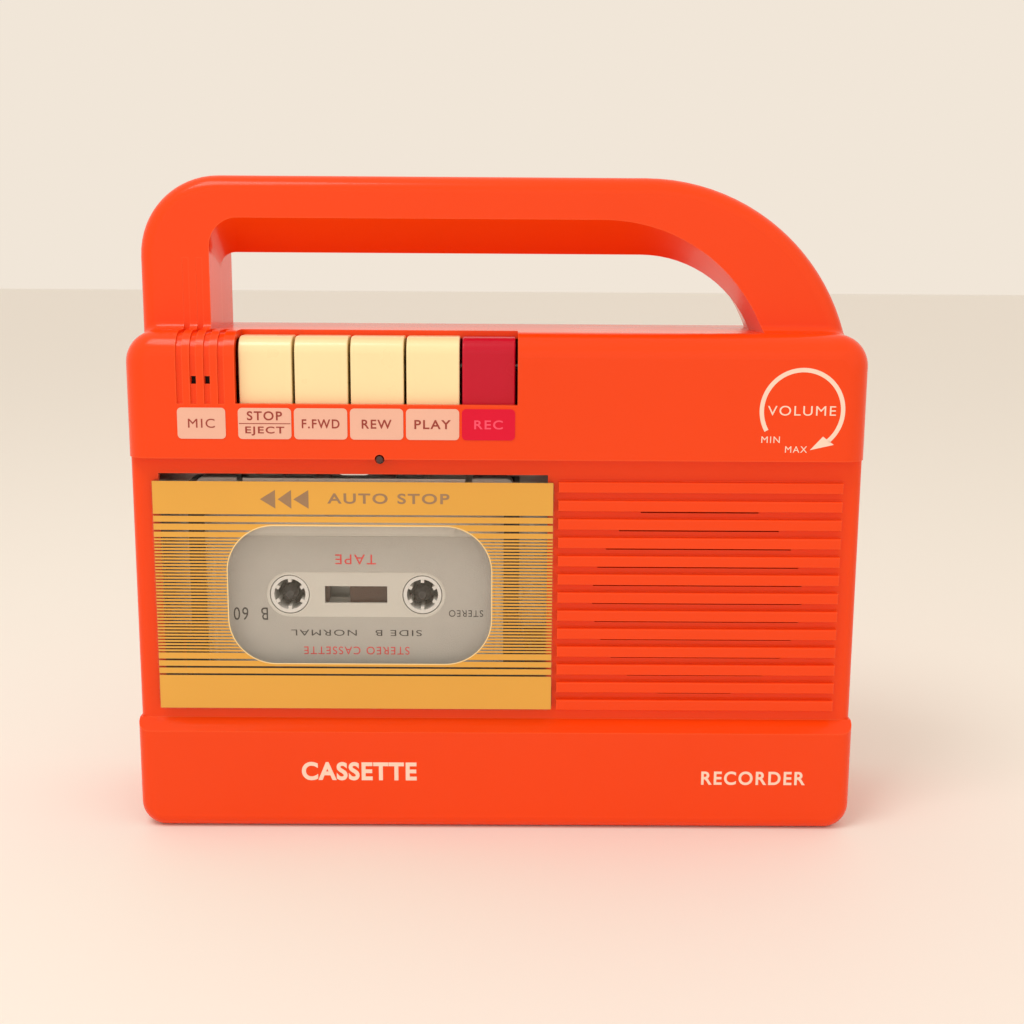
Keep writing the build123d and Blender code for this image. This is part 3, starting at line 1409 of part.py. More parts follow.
save(speaker_cone.part, "speaker_cone")

with BuildPart() as speaker_magnet:
    turned([(0, recess_inner_y + pole_front), (pole_radius, recess_inner_y + pole_front),
            (pole_radius, recess_inner_y + coil_gap_end), (coil_gap_radius, recess_inner_y + coil_gap_end),
            (coil_gap_radius, basket_back_y), (magnet_radius, basket_back_y),
            (magnet_radius, recess_inner_y + speaker_depth), (0, recess_inner_y + speaker_depth)],
           speaker_x, speaker_z)
save(speaker_magnet.part, "speaker_magnet")

# Volume control: finger wheel in the side slot, on the spindle of a potentiometer
volume_rim_bore = volume_radius - volume_rim
volume_dish_bore = volume_rim_bore - volume_rim_slope
volume_spindle_end = volume_back_y + volume_spindle_length
with BuildPart() as volume_wheel:
    turned([(0, volume_front_y + volume_dish), (volume_dish_bore, volume_front_y + volume_dish),
            (volume_rim_bore, volume_front_y), (volume_radius - volume_edge, volume_front_y),
            (volume_radius, volume_front_y + volume_edge), (volume_radius, volume_back_y - volume_edge),
            (volume_radius - volume_edge, volume_back_y), (volume_rim_bore, volume_back_y),
            (volume_dish_bore, volume_back_y - volume_dish),
            (volume_spindle_radius, volume_back_y - volume_dish),
            (volume_spindle_radius, volume_spindle_end), (0, volume_spindle_end)], volume_x, volume_z)
    for index in range(volume_notches):
        angle = 2 * pi * index / volume_notches
        reach = volume_radius + volume_notch_out
        bar(volume_x + reach * cos(angle), volume_z + reach * sin(angle), volume_notch_radius,
            volume_front_y - past, volume_back_y + past, mode=Mode.SUBTRACT)
save(volume_wheel.part, "volume_wheel")

control_bore = volume_spindle_radius + running
control_front_y = volume_back_y + control_gap
with BuildPart() as volume_control:
    turned([(control_bore, control_front_y), (control_radius, control_front_y), (control_radius, board_y),
            (0, board_y), (0, volume_spindle_end + sliding), (control_bore, volume_spindle_end + sliding)],
           volume_x, volume_z)
save(volume_control.part, "volume_control")


# Circuit board with its parts, and the sockets on the right-hand side
with BuildPart() as circuit_board:
    slab((board_left, board_y, board_low), (board_right, board_back_y, board_high))
save(circuit_board.part, "circuit_board")

with BuildPart() as circuit_capacitors:
    for from_left, from_low, radius, height in capacitors:
        bar(board_left + from_left, board_low + from_low, radius, board_back_y, board_back_y + height)
save(circuit_capacitors.part, "circuit_capacitors")

chip_left = board_left + chip_from_left
chip_low = board_low + chip_from_low
with BuildPart() as amplifier_chip:
    slab((chip_left, board_back_y, chip_low),
         (chip_left + chip_width, board_back_y + chip_thickness, chip_low + chip_length))
save(amplifier_chip.part, "amplifier_chip")

switch_left = board_left + switch_from_left
switch_high = board_high - switch_from_high
with BuildPart() as record_switch:
    slab((switch_left, board_back_y, switch_high - switch_length),
         (switch_left + switch_width, board_back_y + switch_thickness, switch_high))
save(record_switch.part, "record_switch")


def socket(z, nose, bore):
    """A moulded body against the side wall, its round nose through the wall, bored from outside."""
    inner_x = half_width - wall
    slab((inner_x - jack_body, jack_y - jack_half, z - jack_half),
         (inner_x, jack_y + jack_half, z + jack_half))
    cross_bar(jack_y, z, nose, inner_x - touch, half_width - jack_nose_inset)
    cross_bar(jack_y, z, bore, inner_x - jack_body + jack_floor, half_width + past, mode=Mode.SUBTRACT)


with BuildPart() as audio_jacks:
    for z in jack_heights:
        socket(z, jack_nose, jack_radius)
save(audio_jacks.part, "audio_jacks")

with BuildPart() as power_jack:
    socket(power_jack_z, power_nose, power_bore)
    cross_bar(jack_y, power_jack_z, power_pin, half_width - wall - jack_body + jack_floor - touch,
              half_width - power_pin_inset)
save(power_jack.part, "power_jack")
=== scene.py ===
from math import cos, pi, radians, sin

import bmesh
import bpy
import numpy as np
from mathutils import Matrix, Vector


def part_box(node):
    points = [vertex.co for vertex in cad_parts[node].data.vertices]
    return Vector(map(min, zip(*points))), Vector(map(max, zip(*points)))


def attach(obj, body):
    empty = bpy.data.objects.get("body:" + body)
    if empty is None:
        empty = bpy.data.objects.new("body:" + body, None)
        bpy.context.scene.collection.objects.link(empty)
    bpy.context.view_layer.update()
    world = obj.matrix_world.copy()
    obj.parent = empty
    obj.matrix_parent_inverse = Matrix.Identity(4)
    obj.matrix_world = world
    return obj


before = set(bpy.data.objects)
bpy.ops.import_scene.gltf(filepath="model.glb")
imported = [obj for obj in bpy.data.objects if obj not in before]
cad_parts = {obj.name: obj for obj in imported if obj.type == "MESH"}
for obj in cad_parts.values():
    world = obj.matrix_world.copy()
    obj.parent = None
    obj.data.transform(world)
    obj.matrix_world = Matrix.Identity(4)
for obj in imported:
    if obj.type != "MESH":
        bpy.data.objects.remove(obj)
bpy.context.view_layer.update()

# View: a hand-held look slightly down from the height of the handle, nearly straight on.
# The lens's axis is pitched, yawed and rolled by the three angles below.
mm = 0.001
view_pitch = radians(10.57)
view_yaw = radians(0.29)
view_roll = radians(0.37)
forward = Vector((sin(view_yaw) * cos(view_pitch), cos(view_yaw) * cos(view_pitch), -sin(view_pitch)))
level = Vector((cos(view_yaw), -sin(view_yaw), 0))
upright = level.cross(forward)
right = cos(view_roll) * level + sin(view_roll) * upright
up = -sin(view_roll) * level + cos(view_roll) * upright
camera = bpy.data.objects.new("camera", bpy.data.cameras.new("camera"))
camera.data.sensor_width = 36.0
camera.data.lens = 49.22
turn = Matrix((right, up, -forward)).transposed().to_4x4()
camera.matrix_world = Matrix.Translation((2.6 * mm, -459.4 * mm, 184.7 * mm)) @ turn
bpy.context.scene.collection.objects.link(camera)
bpy.context.scene.camera = camera
bpy.context.scene.view_settings.view_transform = "Standard"

# Studio: a plain pale floor under an even pale sky, and three soft lights.
# Nothing stands behind the object, so that it can be looked at from every side.


def grid_mesh(name, x, y, z, close_u=False, close_v=False):
    """A surface through three equal grids of coordinates; either direction may close on itself."""
    rows, columns = x.shape
    index = np.arange(rows * columns).reshape(rows, columns)
    if close_u:
        index = np.vstack([index, index[:1]])
    if close_v:
        index = np.hstack([index, index[:, :1]])
    faces = np.stack([index[:-1, :-1], index[1:, :-1], index[1:, 1:], index[:-1, 1:]], axis=-1).reshape(-1, 4)
    mesh = bpy.data.meshes.new(name)
    mesh.from_pydata(np.stack([x, y, z], axis=-1).reshape(-1, 3).tolist(), [], faces.tolist())
    mesh.polygons.foreach_set("use_smooth", np.ones(len(mesh.polygons), bool))
    mesh.update()
    piece = bpy.data.objects.new(name, mesh)
    bpy.context.scene.collection.objects.link(piece)
    return piece


def bare_material(name):
    """A new material with its Principled shader, its node tree and a link function."""
    material = bpy.data.materials.new(name)
    material.use_nodes = True
    return material, material.node_tree.nodes, material.node_tree.links.new


floor_reach = np.array([-6.0, 6.0])
floor = grid_mesh("studio_floor", np.repeat(floor_reach[:, None], 2, axis=1), np.tile(floor_reach, (2, 1)),
                  np.zeros((2, 2)))
floor_material, floor_nodes, _ = bare_material("studio_paper")
floor_shader = floor_nodes["Principled BSDF"]
floor_shader.inputs["Base Color"].default_value = (0.90, 0.87, 0.83, 1)
floor_shader.inputs["Roughness"].default_value = 0.75
floor.data.materials.append(floor_material)

world = bpy.data.worlds.new("studio_air")
world.use_nodes = True
sky = world.node_tree.nodes["Background"]
sky.inputs["Color"].default_value = (1.0, 0.90, 0.78, 1)
sky.inputs["Strength"].default_value = 0.88
bpy.context.scene.world = world


def softbox(name, place, aim, size, watts, colour):
    """A square area light at place, turned to face aim."""
    lamp = bpy.data.lights.new(name, "AREA")
    lamp.energy = watts
    lamp.size = size
    lamp.color = colour
    holder = bpy.data.objects.new(name, lamp)
    holder.matrix_world = (Matrix.Translation(place)
                           @ (Vector(aim) - Vector(place)).to_track_quat("-Z", "Y").to_matrix().to_4x4())
    bpy.context.scene.collection.objects.link(holder)


lamp_white = (1.0, 0.97, 0.93)
object_middle = (0, 0, 0.10)
softbox("key_light", (-0.35, -0.42, 1.00), object_middle, 0.40, 3.2, lamp_white)
softbox("fill_light", (0.9, -1.1, 0.6), object_middle, 1.2, 0.6, lamp_white)
softbox("front_light", (-0.2, -1.6, 0.35), (0, 0, 0.09), 1.4, 1.2, lamp_white)

# Case: two injection-moulded half shells of glossy orange-red ABS, screwed together from behind.
# The same plastic makes the battery cover, so all three share one finish.


def finish(name, colour, rough=0.35, shift=0.06, cloud=18.0, grain=0.02, grain_scale=900.0, metal=0.0,
           coat=0.0, wear=0.0, wear_colour=(1, 1, 1), stretch=(1, 1, 1), rough_shift=0.08, shine=0.5):
    """A moulded, turned or painted surface.

    Cloudy noise shifts the colour by the share shift, slower noise moves the roughness, fine noise gives
    a bump, and a bevelled normal picks out the edges where the surface is rubbed."""
    material, nodes, link = bare_material(name)
    shader = nodes["Principled BSDF"]
    shader.inputs["Metallic"].default_value = metal
    shader.inputs["Coat Weight"].default_value = coat
    shader.inputs["Specular IOR Level"].default_value = shine
    shader.inputs["Coat Roughness"].default_value = 0.06
    place = nodes.new("ShaderNodeTexCoord")
    mapping = nodes.new("ShaderNodeMapping")
    mapping.inputs["Scale"].default_value = stretch
    link(place.outputs["Object"], mapping.inputs["Vector"])
    clouds = nodes.new("ShaderNodeTexNoise")
    clouds.inputs["Scale"].default_value = cloud
    clouds.inputs["Detail"].default_value = 5
    link(mapping.outputs["Vector"], clouds.inputs["Vector"])
    tones = nodes.new("ShaderNodeMix")
    tones.data_type = "RGBA"
    tones.inputs[6].default_value = tuple(max(c * (1 - shift), 0) for c in colour) + (1,)
    tones.inputs[7].default_value = tuple(min(c * (1 + shift) + 0.01 * shift, 1) for c in colour) + (1,)
    link(clouds.outputs["Fac"], tones.inputs[0])
    colour_out = tones.outputs[2]
    if wear:
        soft_edge = nodes.new("ShaderNodeBevel")
        soft_edge.samples = 4
        soft_edge.inputs["Radius"].default_value = 0.0006
        flat = nodes.new("ShaderNodeNewGeometry")
        agree = nodes.new("ShaderNodeVectorMath")
        agree.operation = "DOT_PRODUCT"
        link(soft_edge.outputs["Normal"], agree.inputs[0])
        link(flat.outputs["Normal"], agree.inputs[1])
        edge = nodes.new("ShaderNodeMapRange")
        edge.inputs["From Min"].default_value = 0.995
        edge.inputs["From Max"].default_value = 0.90
        edge.inputs["To Max"].default_value = wear
        link(agree.outputs["Value"], edge.inputs["Value"])
        rubbed = nodes.new("ShaderNodeMix")
        rubbed.data_type = "RGBA"
        rubbed.inputs[7].default_value = tuple(wear_colour) + (1,)
        link(edge.outputs["Result"], rubbed.inputs[0])
        link(colour_out, rubbed.inputs[6])
        colour_out = rubbed.outputs[2]
    link(colour_out, shader.inputs["Base Color"])
    gloss = nodes.new("ShaderNodeTexNoise")
    gloss.inputs["Scale"].default_value = cloud * 2.5
    gloss.inputs["Detail"].default_value = 3
    link(mapping.outputs["Vector"], gloss.inputs["Vector"])
    gloss_range = nodes.new("ShaderNodeMapRange")
    gloss_range.inputs["To Min"].default_value = max(rough - rough_shift, 0.02)
    gloss_range.inputs["To Max"].default_value = rough + rough_shift
    link(gloss.outputs["Fac"], gloss_range.inputs["Value"])
    link(gloss_range.outputs["Result"], shader.inputs["Roughness"])
    fine = nodes.new("ShaderNodeTexNoise")
    fine.inputs["Scale"].default_value = grain_scale
    fine.inputs["Detail"].default_value = 2
    link(mapping.outputs["Vector"], fine.inputs["Vector"])
    bump = nodes.new("ShaderNodeBump")
    bump.inputs["Strength"].default_value = grain
    bump.inputs["Distance"].default_value = 0.0004
    link(fine.outputs["Fac"], bump.inputs["Height"])
    link(bump.outputs["Normal"], shader.inputs["Normal"])
    return material


def dress(node, material):
    """A CAD node keeps its mesh and its own smooth normals, and takes its finish in its material slots."""
    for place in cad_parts[node].material_slots:
        place.material = material


orange = finish("orange_case", (0.90, 0.060, 0.003), rough=0.22, shift=0.05, cloud=9.0, grain=0.03,
                grain_scale=260.0, coat=0.10, wear=0.30, wear_colour=(1.0, 0.20, 0.06), rough_shift=0.05,
                shine=0.20)
for node in ("front_housing", "rear_housing", "battery_cover"):
    dress(node, orange)

# Screws, pins and shafts: zinc-plated steel, bright on the edges that tools and bearings have rubbed.
# The case screws sit deep in the rear counterbores, and the smaller ones hold the deck and the cassette.
steel = finish("plated_steel", (0.62, 0.61, 0.58), rough=0.32, shift=0.10, cloud=60.0, grain=0.10,
               grain_scale=1500.0, metal=1.0, wear=0.25, wear_colour=(0.85, 0.84, 0.82))
for node in ("case_screws", "deck_screws", "cassette_screws", "door_hinge_pins", "key_shaft", "deck_pins",
             "pinch_roller_pin", "capstan"):
    dress(node, steel)

# Keys: four piano keys moulded in cream plastic and the record key in crimson, turning on one shaft.
# Each cap is one smooth face rolled over from front to top, polished where fingers press, and a steel
# wire spring coiled on the shaft beside its lever brings it back.
cream = finish("cream_key", (0.96, 0.80, 0.44), rough=0.30, shift=0.04, cloud=30.0, grain=0.03,
               grain_scale=500.0, coat=0.25, wear=0.35, wear_colour=(1.0, 0.92, 0.66))
crimson = finish("crimson_key", (0.55, 0.003, 0.024), rough=0.26, shift=0.06, cloud=30.0, grain=0.03,
                 grain_scale=500.0, coat=0.10, wear=0.35, wear_colour=(0.85, 0.03, 0.08), shine=0.22)
for node in ("stop_eject_key", "fast_forward_key", "rewind_key", "play_key"):
    dress(node, cream)
dress("record_key", crimson)
dress("key_springs", steel)

# Labels: thin pale plates glued under the keys, with brown-red printed words.
# The record label is hot red, with its word in a fainter tint of the same colour.
pale_label = finish("pale_label", (0.86, 0.48, 0.36), rough=0.45, shift=0.05, cloud=60.0, grain=0.02)
red_label = finish("red_label", (0.74, 0.003, 0.034), rough=0.40, shift=0.06, cloud=60.0, grain=0.02, shine=0.2)
dress("control_labels", pale_label)
dress("record_label", red_label)
letter_brown = finish("letter_brown", (0.33, 0.035, 0.02), rough=0.5, shift=0.10, cloud=400.0, grain=0.02)
letter_red = finish("letter_red", (0.98, 0.075, 0.15), rough=0.5, shift=0.10, cloud=400.0, grain=0.02)
print_depth = 0.05 * mm


def lettering(name, words, middle_x, middle_z, face_y, cap_height, width, material, body, turned=False,
              weight=0.0, spacing=1.18):
    """Printed words: flat letters raised by the print's thickness, centred at (x, z) on a face.

    The letters are scaled to a cap height and a width. weight fattens their strokes, which the letter M
    doesn't bear: its outline crosses itself.
    turned puts them upside down on the face."""
    curve = bpy.data.curves.new(name, "FONT")
    curve.body = words
    curve.space_character = spacing
    curve.offset = weight
    curve.extrude = 0.5
    holder = bpy.data.objects.new(name, curve)
    bpy.context.scene.collection.objects.link(holder)
    bpy.context.view_layer.update()
    mesh = bpy.data.meshes.new_from_object(holder.evaluated_get(bpy.context.evaluated_depsgraph_get()))
    bpy.data.objects.remove(holder)
    work = bmesh.new()
    work.from_mesh(mesh)
    bmesh.ops.remove_doubles(work, verts=work.verts, dist=1e-5)
    work.to_mesh(mesh)
    work.free()
    flat = np.empty(len(mesh.vertices) * 3)
    mesh.vertices.foreach_get("co", flat)
    flat = flat.reshape(-1, 3)
    low, high = flat.min(axis=0), flat.max(axis=0)
    way = -1 if turned else 1
    across = way * (flat[:, 0] - (low[0] + high[0]) / 2) * (width / (high[0] - low[0]))
    rise = way * (flat[:, 1] - (low[1] + high[1]) / 2) * (cap_height / (high[1] - low[1]))
    depth = (flat[:, 2] - low[2]) / (high[2] - low[2]) * print_depth
    placed = np.stack([middle_x + across, face_y - depth, middle_z + rise], axis=-1)
    mesh.vertices.foreach_set("co", placed.ravel())
    mesh.update()
    mesh.materials.clear()
    mesh.materials.append(material)
    piece = bpy.data.objects.new(name, mesh)
    bpy.context.scene.collection.objects.link(piece)
    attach(piece, body)
    return piece


label_low, label_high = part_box("record_label")
label_z = (label_low.z + label_high.z) / 2
label_face = label_low.y
cap = 2.8 * mm
bold = 0.015
mic_width = 8.2 * mm
mic_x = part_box("control_labels")[0].x + 7.4 * mm
lettering("word_mic", "MIC", mic_x, label_z, label_face, cap, mic_width, letter_brown, "case")
key_words = {"fast_forward_key": ("F.FWD", 11.6 * mm), "rewind_key": ("REW", 9.2 * mm),
             "play_key": ("PLAY", 11.2 * mm)}
for node, (word, span) in key_words.items():
    low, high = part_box(node)
    lettering("word_" + node, word, (low.x + high.x) / 2, label_z, label_face, cap, span, letter_brown,
              "case", weight=bold)
low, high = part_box("stop_eject_key")
stop_x = (low.x + high.x) / 2
stop_rise, stop_width = 2.4 * mm, 10.8 * mm
eject_drop, eject_width = 2.3 * mm, 12.0 * mm
lettering("word_stop", "STOP", stop_x, label_z + stop_rise, label_face, cap, stop_width, letter_brown, "case",
          weight=bold)
lettering("word_eject", "EJECT", stop_x, label_z - eject_drop, label_face, cap, eject_width, letter_brown,
          "case", weight=bold)
record_width = 8.8 * mm
lettering("word_record", "REC", (label_low.x + label_high.x) / 2, label_z, label_face, cap, record_width,
          letter_red, "case", weight=bold)


def printed(name, x, z, face_y, material, body):
    """Flat printed shapes, each row of x and z the corners of one outline, in order round it.

    Each outline is set on the face and again one print thickness in front, and the two are joined by a
    ring of four-cornered sides, so every shape is a closed slab."""
    x, z = (np.atleast_2d(v) for v in np.broadcast_arrays(x, z))
    count, corners = x.shape
    turned_round = np.sum(x * np.roll(z, -1, axis=1) - np.roll(x, -1, axis=1) * z, axis=1) < 0
    x = np.where(turned_round[:, None], x[:, ::-1], x)
    z = np.where(turned_round[:, None], z[:, ::-1], z)
    y = np.full_like(x, face_y)
    points = np.stack([np.stack([x, y, z], axis=-1), np.stack([x, y - print_depth, z], axis=-1)], axis=1)
    index = np.arange(points.size // 3).reshape(count, 2, corners)
    back, front = index[:, 0], index[:, 1]
    sides = np.stack([back, np.roll(back, -1, axis=1), np.roll(front, -1, axis=1), front], axis=-1)
    faces = front.tolist() + back[:, ::-1].tolist() + sides.reshape(-1, 4).tolist()
    mesh = bpy.data.meshes.new(name)
    mesh.from_pydata(points.reshape(-1, 3).tolist(), [], faces)
    mesh.update()
    mesh.materials.append(material)
    piece = bpy.data.objects.new(name, mesh)
    bpy.context.scene.collection.objects.link(piece)
    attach(piece, body)
    return piece


divider_half = np.array([7.9, 0.12]) * mm
corner_signs = np.array([[-1, 1, 1, -1], [-1, -1, 1, 1]])
printed("label_divider", stop_x + divider_half[0] * corner_signs[0],
        label_z + divider_half[1] * corner_signs[1], label_face, letter_brown, "case")

# Printing on the case: pale ink for the volume dial and for two plain words on the plinth.
# The dial is an open ring, a flat band swept through 258 degrees, and ends in an arrow head.
pale_ink = finish("pale_ink", (0.96, 0.72, 0.58), rough=0.42, shift=0.06, cloud=200.0, grain=0.02)
case_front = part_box("front_housing")[0].y
dial_x, dial_z = 93.85 * mm, 136.9 * mm
dial_radius = 12.5 * mm
dial_stroke = 1.35 * mm
ring_start, ring_end, ring_steps = -150, -48 - 360, 97
ring_angle = np.radians(np.linspace(ring_start, ring_end, ring_steps))
ring_inner, ring_outer = dial_radius - dial_stroke / 2, dial_radius + dial_stroke / 2
ring_x = np.concatenate([ring_outer * np.cos(ring_angle), ring_inner * np.cos(ring_angle[::-1])])
ring_z = np.concatenate([ring_outer * np.sin(ring_angle), ring_inner * np.sin(ring_angle[::-1])])
printed("volume_ring", dial_x + ring_x, dial_z + ring_z, case_front, pale_ink, "case")
arrow_half_width = 2.1 * mm
tip_radius = dial_radius + arrow_half_width * np.array([-1, 1, 0])
tip_angle = np.radians([-50.0, -46.0, -77.0])
printed("volume_arrow", dial_x + tip_radius * np.cos(tip_angle), dial_z + tip_radius * np.sin(tip_angle),
        case_front, pale_ink, "case")
case_words = {  # the word, then its middle x and z, cap height and width in mm, its weight and letter spacing
    "word_volume": ("VOLUME", 93.7, 136.9, 3.0, 21.0, 0.0, 1.18),
    "word_min": ("MIN", 84.4, 127.9, 2.0, 5.7, 0.0, 1.18),
    "word_max": ("MAX", 92.4, 124.9, 2.0, 6.8, 0.0, 1.18),
    "word_cassette": ("CASSETTE", -43.9, 19.5, 6.2, 37.0, 0.035, 1.10),
    "word_recorder": ("RECORDER", 83.2, 17.7, 4.6, 33.6, 0.022, 1.18),
}
for name, (word, x, z, tall, wide, weight, spacing) in case_words.items():
    lettering(name, word, x * mm, z * mm, case_front, tall * mm, wide * mm, pale_ink, "case",
              weight=weight, spacing=spacing)

# Record lamp and microphone: a dark red lens in the panel's lower edge, and a capsule behind two holes.
# The capsule's face is black felt, so it is rough and a little uneven.
lamp_lens = finish("lamp_lens", (0.045, 0.003, 0.002), rough=0.12, shift=0.15, cloud=400.0, grain=0.01,
                   coat=0.5)
dress("record_lamp", lamp_lens)
black = finish("black_plastic", (0.022, 0.021, 0.022), rough=0.42, shift=0.18, cloud=70.0, grain=0.10,
               grain_scale=900.0, wear=0.35, wear_colour=(0.10, 0.10, 0.11))
felt = finish("capsule_felt", (0.014, 0.013, 0.013), rough=0.92, shift=0.35, cloud=900.0, grain=0.7,
              grain_scale=4000.0, rough_shift=0.05)
dress("microphone", felt)

# Door lens: a clear acrylic plate, printed in gold with two solid bands, fine bars and a clear window.
# The window is a rounded rectangle; every bar stops on its outline, and a thin line is drawn round it.
clear, nodes, link = bare_material("clear_acrylic")
shader = nodes["Principled BSDF"]
place = nodes.new("ShaderNodeTexCoord")
haze = nodes.new("ShaderNodeTexNoise")
haze.inputs["Scale"].default_value = 45.0
haze_colour = nodes.new("ShaderNodeMix")
haze_colour.data_type = "RGBA"
haze_colour.inputs[6].default_value = (0.42, 0.38, 0.31, 1)
haze_colour.inputs[7].default_value = (0.56, 0.52, 0.44, 1)
link(place.outputs["Object"], haze.inputs["Vector"])
link(haze.outputs["Fac"], haze_colour.inputs[0])
link(haze_colour.outputs[2], shader.inputs["Base Color"])
shader.inputs["Alpha"].default_value = 0.06
shader.inputs["Roughness"].default_value = 0.07
dress("door_lens", clear)
gold = finish("gold_print", (0.78, 0.40, 0.060), rough=0.30, shift=0.08, cloud=14.0, grain=0.02, coat=0.12,
              grain_scale=600.0, shine=0.3)
gold_light = finish("gold_outline", (0.99, 0.72, 0.33), rough=0.30, shift=0.05, cloud=30.0, grain=0.02)
ink_tan = finish("tan_print", (0.34, 0.20, 0.10), rough=0.45, shift=0.10, cloud=200.0, grain=0.02)
lens_low, lens_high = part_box("door_lens")
edge_gap = 0.35 * mm
bars_left, bars_right = lens_low.x + edge_gap, lens_high.x - edge_gap
window_left, window_right = lens_low.x + 22.95 * mm, lens_low.x + 106.6 * mm
window_low, window_high = lens_low.z + 15.1 * mm, lens_low.z + 60.2 * mm
window_corner = 15.0 * mm
gap_height = 0.46 * mm
wide_gap = 0.62 * mm
fine_pitch = 1.033 * mm
fine_start, fine_count = 18.9 * mm, 37
fine_gaps = lens_low.z + fine_start + fine_pitch * np.arange(fine_count)
wide_gaps = lens_low.z + np.array([11.55, 14.0, 16.4, 58.3, 60.9, 63.4]) * mm
gaps = np.sort(np.concatenate([fine_gaps, wide_gaps]))
half_gap = np.where(np.isin(gaps, wide_gaps), wide_gap, gap_height) / 2
bar_low = np.concatenate([[lens_low.z + edge_gap], gaps + half_gap])
bar_high = np.concatenate([gaps - half_gap, [lens_high.z - edge_gap]])


def window_side(z):
    """How far the window's outline stands in from its side at height z: nothing, or the corner's circle."""
    into = np.maximum(np.maximum(window_low + window_corner - z, z - (window_high - window_corner)), 0)
    return window_corner - np.sqrt(np.maximum(window_corner**2 - np.minimum(into, window_corner) ** 2, 0))


slice_count = 9
cut = np.linspace(0, 1, slice_count)
bar_z = bar_low[:, None] + (bar_high - bar_low)[:, None] * cut
open_here = (bar_z > window_low) & (bar_z < window_high)
left_end = np.where(open_here, window_left + window_side(bar_z), (window_left + window_right) / 2)
right_end = np.where(open_here, window_right - window_side(bar_z), (window_left + window_right) / 2)
bar_ends = np.concatenate([bar_z, bar_z[:, ::-1]], axis=1)
left_outline = np.concatenate([left_end, np.full_like(bar_z, bars_left)], axis=1)
right_outline = np.concatenate([np.full_like(bar_z, bars_right), right_end[:, ::-1]], axis=1)
printed("gold_bars_left", left_outline, bar_ends, lens_low.y, gold, "door")
printed("gold_bars_right", right_outline, bar_ends, lens_low.y, gold, "door")

corner_steps = 25
corner_angle = np.linspace(0, pi / 2, corner_steps)
outline_angle = np.concatenate([corner_angle + k * pi / 2 for k in range(4)])
corner_x = np.repeat([window_right - window_corner, window_left + window_corner,
                      window_left + window_corner, window_right - window_corner], corner_steps)
corner_z = np.repeat([window_high - window_corner, window_high - window_corner,
                      window_low + window_corner, window_low + window_corner], corner_steps)
line_inside, line_outside = 0.25 * mm, 0.12 * mm
line_radius = window_corner + np.array([-line_inside, -line_inside, line_outside, line_outside])
line_y = lens_low.y - print_depth * np.array([1.0, 1.6, 1.6, 1.0])
outline = grid_mesh("window_outline", corner_x + line_radius[:, None] * np.cos(outline_angle),
                    np.tile(line_y[:, None], (1, outline_angle.size)),
                    corner_z + line_radius[:, None] * np.sin(outline_angle), close_u=True, close_v=True)
outline.data.materials.append(gold_light)
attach(outline, "door")

# Printing on the upper gold band: three arrow heads that point left and the words AUTO STOP.
# It is tan ink, laid over the gold, so it stands one more print thickness in front.
arrow_left = np.array([-74.05, -68.5, -63.6]) * mm
arrow_right = np.array([-69.3, -64.3, -58.9]) * mm
arrow_low, arrow_high = 104.9 * mm, 110.8 * mm
print_face = lens_low.y - print_depth
arrow_x = np.stack([arrow_left, arrow_right, arrow_right], axis=-1)
arrow_z = np.array([(arrow_low + arrow_high) / 2, arrow_low, arrow_high])
printed("rewind_arrows", arrow_x, arrow_z, print_face, ink_tan, "door")
auto_stop_x, auto_stop_z = -33.9 * mm, 108.2 * mm
auto_stop_cap, auto_stop_width, auto_stop_weight = 3.3 * mm, 38.2 * mm, 0.020
lettering("word_auto_stop", "AUTO STOP", auto_stop_x, auto_stop_z, print_face, auto_stop_cap, auto_stop_width,
          ink_tan, "door", weight=auto_stop_weight)

# Cassette holder: a black plastic tray behind the lens, moulded in one with its hinge arms.
# It carries the cassette when the door tips forward.
dress("cassette_holder", black)

# Cassette: two pale grey-white halves held by five small screws, with a paper label on the front.
# Its writing is upside down because the cassette is loaded with its open edge up.
shell = finish("shell_white", (0.66, 0.64, 0.58), rough=0.38, shift=0.05, cloud=40.0, grain=0.06,
               grain_scale=1300.0, wear=0.20, wear_colour=(0.95, 0.94, 0.90))
paper = finish("label_paper", (0.50, 0.48, 0.44), rough=0.80, shift=0.05, cloud=120.0, grain=0.25,
               grain_scale=2600.0, rough_shift=0.04)
ink_black = finish("ink_black", (0.05, 0.045, 0.04), rough=0.6, shift=0.2, cloud=300.0, grain=0.02)
ink_red = finish("ink_red", (0.78, 0.05, 0.05), rough=0.6, shift=0.1, cloud=300.0, grain=0.02)
dress("cassette_front_shell", shell)
dress("cassette_rear_shell", shell)
dress("cassette_label", paper)
paper_low, paper_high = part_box("cassette_label")
paper_face = paper_low.y
cassette_x = (paper_low.x + paper_high.x) / 2
hub_low, hub_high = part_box("left_hub")
hub_z = (hub_low.z + hub_high.z) / 2
left_hub_x = (hub_low.x + hub_high.x) / 2
right_hub_x = (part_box("right_hub")[0].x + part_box("right_hub")[1].x) / 2
paper_words = {  # the word, its middle x, height over the hubs, cap height and width in mm, and its ink
    "word_title": ("STEREO CASSETTE", cassette_x, -18.5, 2.6, 34.0, ink_red),
    "word_line_one": ("SIDE B   NORMAL", cassette_x, -12.6, 2.0, 42.0, ink_black),
    "word_side": ("B  60", left_hub_x - 12.6 * mm, -6.4, 4.2, 11.0, ink_black),
    "word_stereo": ("STEREO", right_hub_x + 14.0 * mm, -6.0, 2.2, 11.0, ink_black),
    "word_top": ("TAPE", cassette_x, 11.6, 3.2, 13.0, ink_red),
}
for name, (word, x, above, tall, wide, ink) in paper_words.items():
    lettering(name, word, x, hub_z + above * mm, paper_face, tall * mm, wide * mm, ink, "door",
              turned=True)

